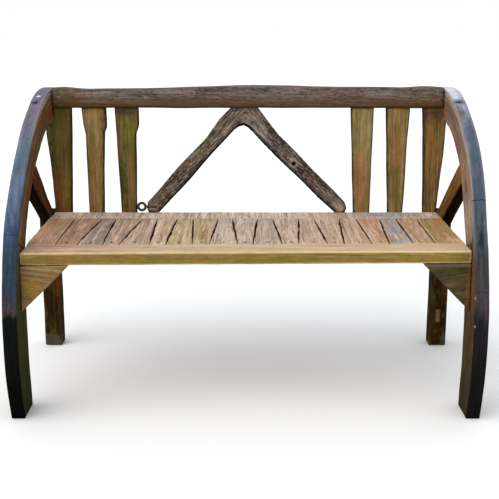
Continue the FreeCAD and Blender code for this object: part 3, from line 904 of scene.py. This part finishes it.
SPOKE_SLOPE = math.radians(36)
SPOKE_FALL = math.tan(SPOKE_SLOPE)
SPOKE_END_RADIUS = 0.508
SPOKE_HIGH = 56.8
SPOKE_LOW = 47.5
BRACE_TOP_AT_HUB = 0.218
BRACE_SAG = {"left": 0.0, "right": 0.020}
BRACE_BOTTOM_AT_HUB = 0.165
brace_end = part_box("left_back_leg")[0].y
BRACE_TONES = {
    "left": (tint(46, 24, 12), tint(90, 57, 31), tint(112, 80, 50), tint(78, 42, 24)),
    "right": (tint(66, 42, 16), tint(118, 88, 42), tint(140, 110, 66), tint(110, 72, 34)),
}
BRACE_STAINS = {
    "left": [((-0.615, -0.02, 0.47), (0.05, 0.08, 0.04), tint(34, 14, 8), 0.8)],
    "right": [((0.60, 0.12, 0.43), (0.03, 0.06, 0.04), tint(60, 30, 14), 0.7)],
}
for side, seed in (("left", 50), ("right", 55)):
    low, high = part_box(f"{side}_spoke_brace")
    reach = brace_end - HUB_Y
    corners = []
    for angle in (SPOKE_HIGH, (SPOKE_HIGH + SPOKE_LOW) / 2, SPOKE_LOW):
        end = on_wheel(SPOKE_END_RADIUS, angle)
        corners.append((end.y, end.z))
    corners += [
        (brace_end, HUB_Z + BRACE_BOTTOM_AT_HUB - reach * SPOKE_FALL - BRACE_SAG[side]),
        (brace_end, HUB_Z + BRACE_TOP_AT_HUB - reach * SPOKE_FALL),
    ]
    spoke = prism(corners, 0, low.x, high.x)
    rounded(spoke, 0.013, 4)
    along = Vector((0, math.cos(SPOKE_SLOPE), -math.sin(SPOKE_SLOPE)))
    slices(spoke, (along, 0.008), (Vector((0, along.z, -along.y)), 0.007), (WIDE, 0.008))
    weather(spoke, along, seed)
    wood = old_wood(
        f"{side}_brace_wood",
        (0, SPOKE_SLOPE, math.radians(90)),
        seed,
        *BRACE_TONES[side],
        moss=0.15,
        wear=tint(64, 40, 24) if side == "left" else tint(110, 84, 52),
        contrast=1.4,
        # Painted shade: the brace's underside, which looks down and forward, is given a near-black
        # colour.
        below=tint(20, 6, 2),
        colour_spots=BRACE_STAINS[side],
    )
    finished(spoke, f"{side}_brace_spoke", [f"{side}_spoke_brace"], wood)

# ---- Back legs ----
# A squared post at each back corner, stained nearly black by wet ground, with green algae.
# The right one has a small lighter patch let into its front.
GRAIN_UP = (0, math.radians(-90), 0)


def squared(low, high):
    """A squared timber between its lowest and highest corners."""
    corners = [(low.x, low.y), (high.x, low.y), (high.x, high.y), (low.x, high.y)]
    return prism(corners, 2, low.z, high.z)


LEG_TONES = (tint(22, 12, 5), tint(44, 28, 13), tint(64, 48, 27), tint(56, 29, 13))
for side, seed in (("left", 60), ("right", 66)):
    low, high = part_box(f"{side}_back_leg")
    post = squared(low, high)
    rounded(post, 0.004)
    slices(post, (TALL, 0.010), (WIDE, 0.008), (DEEP, 0.008))
    weather(post, (0, 0, 1), seed)
    rust = ((high.x - 0.008, low.y, 0.22), (0.014, 0.03, 0.07), tint(104, 50, 20), 0.7)
    # Painted shade: a near-black patch at the top of the post, under the seat, where shade falls.
    shade_under_seat = (((low.x + high.x) / 2, low.y, 0.42), (0.05, 0.05, 0.07), tint(24, 8, 4), 0.9)
    wood = old_wood(
        f"{side}_back_leg_wood",
        GRAIN_UP,
        seed,
        *LEG_TONES,
        moss=0.5,
        wear=tint(66, 56, 40),
        worn=0.6,
        colour_spots=[rust, shade_under_seat],
        levels=[(0.012, 0.006, tint(84, 74, 60), 0.6)],
        relief=0.7,
    )
    finished(post, f"{side}_back_post", [f"{side}_back_leg"], wood)

low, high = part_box("right_back_leg")
PATCH_HALF_WIDTH = 0.009
PATCH_LOW, PATCH_HIGH = 0.078, 0.122
PATCH_OFFSET = -0.003
middle = (low.x + high.x) / 2 + PATCH_OFFSET
corners = [
    (middle - PATCH_HALF_WIDTH, PATCH_LOW),
    (middle + PATCH_HALF_WIDTH, PATCH_LOW),
    (middle + PATCH_HALF_WIDTH, PATCH_HIGH),
    (middle - PATCH_HALF_WIDTH, PATCH_HIGH),
]
patch = prism(corners, 1, low.y - 0.0015, low.y + 0.004)
rounded(patch, 0.0008)
slices(patch, (TALL, 0.006), (WIDE, 0.006))
weather(patch, (0, 0, 1), 69, wear=0.0005, nick=0.0006)
wood = old_wood(
    "leg_patch_wood",
    GRAIN_UP,
    69,
    tint(50, 40, 22),
    tint(96, 82, 50),
    tint(126, 112, 76),
    tint(86, 70, 42),
    moss=0.3,
    wear=tint(28, 18, 8),
)
finished(patch, "right_leg_patch", [], wood)

# ---- Gussets ----
# A three-cornered board under each front corner of the seat keeps it square. It is nailed
# to the rim and to the front rail.
for side, seed, sign in (("left", 70, -1), ("right", 76, 1)):
    low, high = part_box(f"{side}_gusset")
    outer, inner = (low.x, high.x) if sign < 0 else (high.x, low.x)
    corners = [(outer, high.z), (inner, high.z), (outer, low.z)]
    gusset = prism(corners, 1, low.y, high.y)
    rounded(gusset, 0.003)
    slices(gusset, (WIDE, 0.007), (TALL, 0.007), (DEEP, 0.008))
    weather(gusset, (1, 0, 0), seed)
    if side == "left":
        tones = (tint(88, 68, 40), tint(134, 110, 74), tint(158, 136, 100), tint(132, 106, 58))
        colour_spots = [
            ((-0.55, low.y, 0.35), (0.025, 0.03, 0.03), tint(150, 112, 40), 0.7),
            ((-0.57, low.y, 0.31), (0.02, 0.03, 0.03), tint(128, 96, 68), 0.6),
        ]
        line = tint(196, 170, 124)
    else:
        tones = (tint(40, 34, 24), tint(84, 72, 56), tint(108, 96, 80), tint(62, 58, 30))
        colour_spots = [
            ((0.50, low.y, 0.375), (0.03, 0.03, 0.02), tint(52, 44, 40), 0.7),
            ((0.583, low.y, 0.36), (0.013, 0.03, 0.09), tint(128, 84, 40), 0.9),
        ]
        line = tint(104, 88, 68)
    wood = old_wood(
        f"{side}_gusset_wood",
        (0, math.radians(-sign * 8), 0),
        seed,
        *tones,
        moss=0.15 if side == "left" else 0.4,
        wear=tint(110, 96, 76) if side == "left" else tint(46, 40, 30),
        worn=0.6,
        colour_spots=colour_spots,
        levels=[(high.z - 0.005, -0.002, line, 0.6)],
        ragged=0.001,
    )
    finished(gusset, f"{side}_corner_gusset", [f"{side}_gusset"], wood)

# ---- Seat rails and end boards ----
# Straight boards, worn round on their top front edges by sitters' legs. The front rail is
# golden where the weather doesn't reach and bleached on top.
GRAIN_BACK = (0, 0, math.radians(90))


def plain_board(node, grain, seed, radius):
    """A board the size of its node, with eased arrises and a worked surface."""
    low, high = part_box(node)
    bm = squared(low, high)
    rounded(bm, radius)
    slices(bm, (WIDE, 0.010), (DEEP, 0.008), (TALL, 0.007))
    weather(bm, grain, seed)
    return bm


front_low, front_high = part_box("seat_front_rail")
seat_top = front_high.z
front_rail = plain_board("seat_front_rail", (1, 0, 0), 80, 0.005)
wood = old_wood(
    "front_rail_wood",
    NO_TURN,
    80,
    tint(94, 76, 34),
    tint(132, 110, 56),
    tint(158, 136, 82),
    tint(126, 108, 48),
    # The pale cream on the top front arris is worn wood with a painted highlight.
    wear=tint(222, 198, 152),
    worn=0.7,
    colour_spots=[
        ((0.1, front_low.y, 0.424), (0.09, 0.03, 0.016), tint(116, 108, 40), 0.6),
        ((-0.05, front_low.y + 0.02, seat_top), (0.06, 0.03, 0.01), tint(178, 158, 112), 0.5),
        ((-0.52, front_low.y + 0.02, seat_top), (0.06, 0.03, 0.01), tint(196, 150, 124), 0.6),
        ((0.46, front_low.y + 0.02, seat_top), (0.07, 0.03, 0.01), tint(196, 166, 146), 0.6),
        ((-0.45, front_low.y, 0.424), (0.09, 0.03, 0.016), tint(134, 100, 56), 0.6),
        ((0.5, front_low.y, 0.424), (0.09, 0.03, 0.016), tint(136, 112, 50), 0.6),
    ],
    # Pale cream band along the top of the front face: worn wood with a painted highlight.
    levels=[(seat_top - 0.0045, -0.0015, tint(222, 198, 152), 0.35)],
    ragged=0.0008,
    above=(tint(136, 108, 90), tint(188, 158, 138), tint(216, 190, 172)),
)
finished(front_rail, "front_seat_rail", ["seat_front_rail"], wood)

back_rail = plain_board("seat_back_rail", (1, 0, 0), 84, 0.004)
wood = old_wood(
    "back_rail_wood",
    GRAIN_BACK,
    84,
    tint(128, 106, 88),
    tint(202, 180, 164),
    tint(224, 206, 192),
    tint(184, 160, 144),
    wear=tint(176, 152, 134),
    worn=0.4,
    contrast=1.2,
    colour_spots=[((0.42, 0.2, seat_top), (0.10, 0.06, 0.04), tint(150, 148, 156), 0.7)],
)
finished(back_rail, "back_seat_rail", ["seat_back_rail"], wood)

for side, seed in (("left", 88), ("right", 92)):
    node = f"seat_{side}_end_board"
    bm = plain_board(node, (0, 1, 0), seed, 0.003)
    if side == "left":
        colour_spots = [
            ((-0.55, -0.12, seat_top), (0.04, 0.05, 0.04), tint(206, 160, 136), 0.7),
            ((-0.545, 0.04, seat_top), (0.04, 0.05, 0.04), tint(178, 138, 96), 0.6),
        ]
        tones = (tint(135, 99, 74), tint(184, 146, 118), tint(205, 175, 148), tint(175, 137, 112))
    else:
        colour_spots = [
            ((0.545, 0.00, seat_top), (0.012, 0.03, 0.04), tint(184, 120, 56), 0.8),
            ((0.555, 0.09, seat_top), (0.012, 0.03, 0.04), tint(184, 134, 70), 0.7),
            ((0.56, -0.15, seat_top), (0.03, 0.04, 0.04), tint(216, 168, 140), 0.8),
        ]
        tones = (tint(120, 94, 61), tint(165, 137, 97), tint(186, 164, 127), tint(157, 127, 82))
    wood = old_wood(
        f"{side}_end_board_wood",
        GRAIN_BACK,
        seed,
        *tones,
        wear=tint(196, 172, 144),
        worn=0.6,
        colour_spots=colour_spots,
        # Painted shade on the board's sideways faces, in the gaps beside it.
        painted_side_shade=tint(40, 26, 16),
    )
    finished(bm, f"{side}_seat_end", [node], wood)

# ---- Seat slats ----
# Seventeen spokes laid side by side, wide and narrow ends by turns, so that the gaps lean
# each way. Their sides have rotted and worn into uneven gaps, darkened with painted shade.
SLAT_TONES = (
    (tint(190, 149, 123), tint(164, 128, 108)),
    (tint(164, 141, 126), tint(132, 126, 121)),
    (tint(180, 151, 130), tint(154, 134, 119)),
    (tint(190, 160, 138), tint(167, 145, 128)),
    (tint(193, 166, 141), tint(177, 149, 125)),
    (tint(188, 164, 132), tint(174, 154, 112)),
    (tint(186, 163, 132), tint(170, 152, 112)),
    (tint(197, 177, 160), tint(179, 162, 151)),
    (tint(195, 175, 160), tint(175, 160, 151)),
    (tint(193, 171, 154), tint(173, 156, 147)),
    (tint(199, 175, 156), tint(184, 160, 143)),
    (tint(197, 169, 149), tint(180, 153, 134)),
    (tint(195, 167, 145), tint(184, 156, 132)),
    (tint(195, 166, 141), tint(179, 149, 128)),
    (tint(195, 160, 130), tint(182, 145, 115)),
    (tint(182, 167, 158), tint(160, 153, 154)),
    (tint(192, 158, 126), tint(177, 145, 117)),
)
SLAT_FURROW = tint(125, 102, 86)
SLAT_PALE = tint(214, 193, 175)
# Painted shade for the slats' sides, which face into the gaps.
SLAT_GAP_SHADE = tint(66, 47, 34)


def end_span(node, at):
    """Between which places a slat lies along X where it meets a plane across Y."""
    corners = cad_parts[node].data.vertices
    found = [corner.co.x for corner in corners if abs(corner.co.y - at) < 0.001]
    return min(found), max(found)


def worn_sides(bm, low_y, high_y, seed):
    """Wears a slat's sides hollow and uneven between its ends, where it still touches the
    next one."""
    bm.normal_update()
    length = high_y - low_y
    for vertex in bm.verts:
        if abs(vertex.normal.x) < 0.35:
            continue
        from_end = min(vertex.co.y - low_y, high_y - vertex.co.y) / length
        open_share = ease(from_end, 0.04, 0.26)
        side = math.copysign(1.0, vertex.normal.x)
        spot = Vector((side * 7, vertex.co.y * 22, seed * 5.3))
        uneven = noise.noise(spot) + 0.5 * noise.noise(spot * 3.1)
        inward = open_share * (0.0016 * uneven - 0.0003) - (1 - open_share) * 0.0019
        vertex.co.x -= side * inward


for number, (body, patch) in enumerate(SLAT_TONES, start=1):
    node = f"seat_slat_{number:02d}"
    low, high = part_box(node)
    front_left, front_right = end_span(node, low.y)
    back_left, back_right = end_span(node, high.y)
    corners = [(front_left, low.y), (front_right, low.y), (back_right, high.y), (back_left, high.y)]
    bm = prism(corners, 2, low.z, high.z)
    rounded(bm, 0.0035)
    slices(bm, (DEEP, 0.006), (WIDE, 0.006), (TALL, 0.007))
    worn_sides(bm, low.y, high.y, number)
    weather(bm, (0, 1, 0), 100 + number, wear=0.0012, nick=0.0022)
    wood = old_wood(
        f"seat_slat_wood_{number:02d}",
        GRAIN_BACK,
        100 + 3 * number,
        SLAT_FURROW,
        body,
        SLAT_PALE,
        patch,
        wear=tint(186, 162, 140),
        worn=0.35,
        crack=0.5,
        contrast=1.25,
        # Painted shade on the slats' sides, in the gaps between them.
        painted_side_shade=SLAT_GAP_SHADE,
    )
    finished(bm, f"seat_spoke_{number:02d}", [node], wood)

# ---- Hidden boards ----
# Bearers under the slats' ends and the apron behind the back spokes' feet are plain sawn
# timber, nailed in place, with a little moss.
for number, node in enumerate(("front_bearer", "back_bearer", "back_apron")):
    bm = plain_board(node, (1, 0, 0), 130 + number, 0.003)
    wood = old_wood(
        f"{node}_wood",
        NO_TURN,
        130 + number,
        tint(52, 40, 28),
        tint(92, 74, 54),
        tint(122, 102, 78),
        tint(76, 62, 46),
        moss=0.2,
        wear=tint(110, 92, 70),
    )
    finished(bm, f"{node}_board", [node], wood)

# ---- Top rail ----
# A cleft pole, flat beneath and slightly humped on top, joins the tops of the two rims.
# It is held by a screw through each rim, and has weathered grey-brown.
low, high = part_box("top_rail")
RAIL_END_HEIGHT = 0.048
hump = high.z - low.z - RAIL_END_HEIGHT
RAIL_TOP = (
    (1.0, 0.10),
    (0.90, 0.42),
    (0.73, 0.62),
    (0.50, 0.64),
    (0.30, 0.85),
    (0.05, 1.0),
    (-0.15, 0.90),
    (-0.34, 0.62),
    (-0.52, 0.40),
    (-0.78, 0.38),
    (-0.94, 0.22),
    (-1.0, 0.05),
)
RAIL_SAG = 0.003
corners = [(low.x, low.z - RAIL_SAG), (high.x, low.z - RAIL_SAG)]
corners += [(high.x * share, low.z + RAIL_END_HEIGHT + hump * rise) for share, rise in RAIL_TOP]
pole = prism(corners, 1, low.y, high.y)
long_edges = [edge for edge in pole.edges if abs(edge.verts[0].co.x - edge.verts[1].co.x) > 0.01]
rounded(pole, 0.009, 4, long_edges)
slices(pole, (WIDE, 0.010), (DEEP, 0.008), (TALL, 0.008))
weather(pole, (1, 0, 0), 140, wear=0.002, nick=0.001)
wood = old_wood(
    "top_rail_wood",
    NO_TURN,
    140,
    tint(60, 48, 42),
    tint(114, 99, 90),
    tint(146, 137, 132),
    tint(102, 86, 70),
    moss=0.15,
    flecks=tint(130, 117, 108),
    # The dark arris colour paints the shadow line along the rail's lower edge, and darkens its
    # upper arrises too.
    wear=tint(58, 44, 32),
    worn=0.5,
    colour_spots=[
        ((-0.54, low.y, 0.80), (0.07, 0.04, 0.03), tint(104, 82, 48), 0.8),
        ((-0.575, low.y, 0.775), (0.02, 0.04, 0.012), tint(110, 50, 24), 0.8),
        ((0.05, low.y, 0.81), (0.10, 0.04, 0.02), tint(108, 96, 104), 0.6),
        ((0.30, low.y, 0.81), (0.07, 0.04, 0.02), tint(118, 88, 88), 0.5),
        ((0.55, low.y, 0.79), (0.04, 0.04, 0.03), tint(112, 92, 60), 0.6),
    ],
    levels=[(low.z + 0.024, 0.012, tint(80, 57, 32), 0.8)],
    ragged=0.012,
    crack=0.6,
    contrast=1.4,
    # Painted shade on the rail's underside.
    below=tint(34, 24, 16),
)
finished(pole, "top_pole", ["top_rail"], wood)

# ---- Back spokes ----
# Six more spokes stand between the seat and the top rail, wide end up. Two have the
# shoulders that met the hub. Sun and rain have left them olive, brown and orange.
RAIL_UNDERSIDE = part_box("back_slat_2")[1].z
SPOKE_OUTLINES = {
    1: (
        [
            (-0.583, 0),
            (-0.583, 0.020),
            (-0.606, 0.026),
            (-0.604, 0.085),
            (-0.595, 0.150),
            (-0.588, 0.215),
            (-0.583, 0.282),
        ],
        [(-0.519, 0)],
        (-0.582, -0.532),
    ),
    2: (
        [(-0.491, 0), (-0.487, 0.047), (-0.480, 0.082)],
        [(-0.417, 0), (-0.417, 0.062), (-0.423, 0.076)],
        (-0.478, -0.435),
    ),
    3: (
        [(-0.391, 0)],
        [(-0.319, 0), (-0.319, 0.056), (-0.328, 0.080)],
        (-0.376, -0.332),
    ),
    4: ([(0.314, 0)], [(0.384, 0)], (0.334, 0.377)),
    5: ([(0.420, 0)], [(0.491, 0)], (0.437, 0.476)),
    6: (
        [(0.528, 0)],
        [(0.590, 0), (0.594, 0.036), (0.588, 0.246), (0.582, 0.320)],
        (0.546, 0.582),
    ),
}
BACK_TONES = {
    1: (tint(54, 44, 20), tint(99, 81, 40), tint(125, 104, 58), tint(77, 69, 34)),
    2: (tint(92, 68, 34), tint(138, 112, 72), tint(162, 138, 98), tint(128, 100, 56)),
    3: (tint(66, 50, 28), tint(112, 94, 56), tint(138, 120, 80), tint(98, 88, 44)),
    4: (tint(92, 76, 42), tint(140, 122, 78), tint(162, 146, 104), tint(128, 114, 68)),
    5: (tint(86, 64, 32), tint(134, 108, 66), tint(158, 134, 92), tint(126, 94, 52)),
    6: (tint(70, 52, 28), tint(123, 96, 57), tint(150, 123, 80), tint(113, 81, 46)),
}
BACK_STAINS = {
    1: (
        (-0.580, 0.60, 0.016, 0.16, tint(40, 46, 22), 0.85),
        (-0.545, 0.71, 0.03, 0.05, tint(112, 84, 44), 0.5),
        (-0.563, 0.52, 0.018, 0.09, tint(118, 66, 40), 0.7),
        (-0.545, 0.50, 0.014, 0.06, tint(128, 104, 44), 0.6),
        (-0.575, 0.755, 0.016, 0.012, tint(110, 54, 28), 0.7),
    ),
    2: (
        (-0.470, 0.740, 0.02, 0.03, tint(150, 130, 92), 0.5),
        (-0.452, 0.560, 0.014, 0.08, tint(150, 104, 58), 0.6),
        (-0.425, 0.720, 0.008, 0.06, tint(70, 52, 28), 0.7),
    ),
    3: (
        (-0.360, 0.757, 0.05, 0.018, tint(60, 46, 44), 0.85),
        (-0.345, 0.700, 0.02, 0.05, tint(106, 102, 40), 0.8),
        (-0.384, 0.660, 0.012, 0.09, tint(112, 58, 40), 0.7),
        (-0.373, 0.540, 0.013, 0.08, tint(52, 56, 28), 0.85),
        (-0.345, 0.560, 0.012, 0.06, tint(140, 92, 54), 0.5),
    ),
    4: (
        (0.350, 0.720, 0.02, 0.03, tint(152, 124, 92), 0.4),
        (0.348, 0.550, 0.016, 0.085, tint(168, 98, 60), 0.75),
        (0.350, 0.470, 0.018, 0.03, tint(150, 100, 60), 0.7),
    ),
    5: (
        (0.455, 0.650, 0.018, 0.09, tint(146, 100, 60), 0.65),
        (0.455, 0.530, 0.018, 0.06, tint(108, 100, 50), 0.7),
        (0.430, 0.500, 0.008, 0.09, tint(84, 72, 40), 0.6),
    ),
    6: (
        (0.560, 0.745, 0.05, 0.028, tint(62, 50, 38), 0.85),
        (0.556, 0.660, 0.012, 0.10, tint(134, 88, 50), 0.7),
        (0.587, 0.680, 0.010, 0.06, tint(112, 106, 50), 0.7),
        (0.552, 0.520, 0.014, 0.07, tint(96, 80, 50), 0.6),
    ),
}
for number, (left_side, right_side, foot) in SPOKE_OUTLINES.items():
    node = f"back_slat_{number}"
    low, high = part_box(node)
    corners = [(x, RAIL_UNDERSIDE - drop) for x, drop in left_side]
    corners += [(x, low.z) for x in foot]
    corners += [(x, RAIL_UNDERSIDE - drop) for x, drop in reversed(right_side)]
    bm = prism(corners, 1, low.y, high.y)
    rounded(bm, 0.005)
    slices(bm, (TALL, 0.009), (WIDE, 0.007), (DEEP, 0.008))
    weather(bm, (0, 0, 1), 150 + number, wear=0.0016, nick=0.002)
    colour_spots = [
        ((x, low.y, z), (wide, 0.05, tall), spot_colour, strength)
        for x, z, wide, tall, spot_colour, strength in BACK_STAINS[number]
    ]
    wood = old_wood(
        f"back_spoke_wood_{number}",
        GRAIN_UP,
        150 + 4 * number,
        *BACK_TONES[number],
        moss=0.35,
        # Painted edge shade: the arrises and the sideways faces are given a dark colour, as if in
        # shade.
        wear=tint(46, 36, 20),
        worn=0.9,
        contrast=1.25,
        colour_spots=colour_spots,
        painted_side_shade=tint(46, 36, 20),
    )
    finished(bm, f"back_spoke_{number}", [node], wood)

# ---- Forked branch ----
# One natural crook, upside down, barked and dressed roughly flat, charcoal with age. Its
# feet lap over the back edge of the seat.
low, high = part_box("crook_brace")
crook_top = high.z
BRANCH_LEFT = (
    (-0.042, crook_top + 0.002),
    (-0.080, crook_top - 0.038),
    (-0.116, crook_top - 0.090),
    (-0.203, crook_top - 0.180),
    (-0.300, seat_top + 0.030),
    (-0.303, seat_top + 0.012),
    (-0.298, seat_top - 0.002),
    (-0.260, seat_top - 0.002),
    (-0.150, seat_top + 0.122),
    (-0.051, seat_top + 0.230),
    (-0.034, seat_top + 0.249),
    (-0.020, seat_top + 0.260),
)
BRANCH_RIGHT = (
    (-0.006, seat_top + 0.264),
    (0.008, seat_top + 0.257),
    (0.023, seat_top + 0.242),
    (0.052, seat_top + 0.209),
    (0.149, seat_top + 0.114),
    (0.270, seat_top - 0.002),
    (0.304, seat_top - 0.002),
    (0.309, seat_top + 0.012),
    (0.303, seat_top + 0.028),
    (0.204, seat_top + 0.130),
    (0.104, crook_top - 0.086),
    (0.062, crook_top - 0.034),
    (0.034, crook_top + 0.002),
)


def drilled(bm, centre, radius, depth):
    """Sinks a peg hole into the front of a piece, at a point of its front face."""
    for number in range(8):
        turn = math.tau * number / 8
        way = Vector((math.cos(turn), 0, math.sin(turn)))
        near = [
            face
            for face in bm.faces
            if face.normal.y < -0.9 and (face.calc_center_median() - centre).length < 4 * radius
        ]
        around = {edge for face in near for edge in face.edges}
        around |= {vertex for face in near for vertex in face.verts}
        bmesh.ops.bisect_plane(
            bm, geom=near + list(around), plane_co=centre + way * radius, plane_no=way
        )
    inside = []
    for face in bm.faces:
        away = face.calc_center_median() - centre
        if face.normal.y < -0.9 and abs(away.y) < 0.002 and away.length < radius:
            inside.append(face)
    swept = bmesh.ops.extrude_face_region(bm, geom=inside)["geom"]
    moved = [item for item in swept if isinstance(item, bmesh.types.BMVert)]
    bmesh.ops.translate(bm, verts=moved, vec=(0, depth, 0))
    bmesh.ops.delete(bm, geom=inside, context="FACES")


BRANCH_STAINS = (
    (0.035, 0.765, 0.02, 0.02, tint(140, 96, 60), 0.6),
    (-0.095, 0.725, 0.025, 0.025, tint(160, 146, 132), 0.8),
    (-0.130, 0.650, 0.03, 0.03, tint(104, 98, 52), 0.75),
    (-0.270, 0.500, 0.03, 0.03, tint(128, 102, 78), 0.7),
    (0.090, 0.655, 0.03, 0.05, tint(48, 42, 48), 0.8),
    (0.165, 0.575, 0.02, 0.02, tint(44, 36, 38), 0.8),
    (0.118, 0.618, 0.014, 0.012, tint(96, 54, 40), 0.8),
    (0.200, 0.535, 0.018, 0.014, tint(92, 52, 52), 0.7),
    (-0.170, 0.607, 0.014, 0.012, tint(138, 76, 46), 0.8),
    (-0.205, 0.565, 0.025, 0.025, tint(56, 48, 44), 0.7),
    (-0.245, 0.512, 0.014, 0.012, tint(140, 84, 48), 0.7),
    (-0.060, 0.750, 0.02, 0.02, tint(64, 54, 50), 0.7),
    (0.015, 0.735, 0.03, 0.02, tint(150, 136, 124), 0.7),
    (0.075, 0.665, 0.02, 0.02, tint(104, 88, 102), 0.5),
    (0.225, 0.520, 0.025, 0.02, tint(88, 68, 80), 0.6),
    (0.285, 0.465, 0.02, 0.012, tint(190, 164, 140), 0.8),
    (-0.285, 0.465, 0.02, 0.012, tint(170, 150, 132), 0.6),
)

branch = prism(BRANCH_LEFT + BRANCH_RIGHT, 1, low.y, high.y)
foot_level = seat_top - 0.001
limb_edges = []
for edge in branch.edges:
    one, other = edge.verts
    if abs(one.co.y - other.co.y) < 0.001 and max(one.co.z, other.co.z) > foot_level:
        limb_edges.append(edge)
rounded(branch, 0.013, 5, limb_edges)
slices(branch, (WIDE, 0.008), (TALL, 0.008), (DEEP, 0.008))
PEG_X, PEG_Z = 0.144, 0.600
PEG_HOLE_RADIUS = 0.006
PEG_HOLE_DEPTH = 0.012
front_y = low.y
drilled(branch, Vector((PEG_X, front_y, PEG_Z)), PEG_HOLE_RADIUS, PEG_HOLE_DEPTH)
weather(branch, (0.7, 0, 0.7), 180, wear=0.0026, nick=0.0015)
spots = [
    ((x, front_y, z), (wide, 0.03, tall), spot_colour, strength)
    for x, z, wide, tall, spot_colour, strength in BRANCH_STAINS
]
wood = old_wood(
    "branch_wood",
    (0, math.radians(45), 0),
    180,
    tint(36, 28, 25),
    tint(104, 91, 84),
    tint(158, 146, 138),
    tint(70, 56, 44),
    way="forked",
    flecks=tint(168, 156, 148),
    moss=0.2,
    wear=tint(26, 20, 16),
    worn=0.85,
    crack=0.7,
    relief=1.0,
    contrast=1.7,
    # Painted shade on the branch's downward faces.
    below=tint(18, 13, 11),
    colour_spots=[
        ((PEG_X, front_y, PEG_Z), (0.016, 0.010, 0.016), tint(178, 166, 158), 1.0),
        # Painted shade: near-black at the bottom of the peg hole.
        ((PEG_X, front_y + 0.010, PEG_Z), (0.012, 0.009, 0.012), tint(20, 14, 12), 1.0),
        *spots,
    ],
)
finished(branch, "forked_branch", ["crook_brace"], wood)

# ---- Iron eye ----
# A small forged eye, screwed into the side of the branch's left foot. It is rusted like
# the screws.
coated("crook_eye", iron)
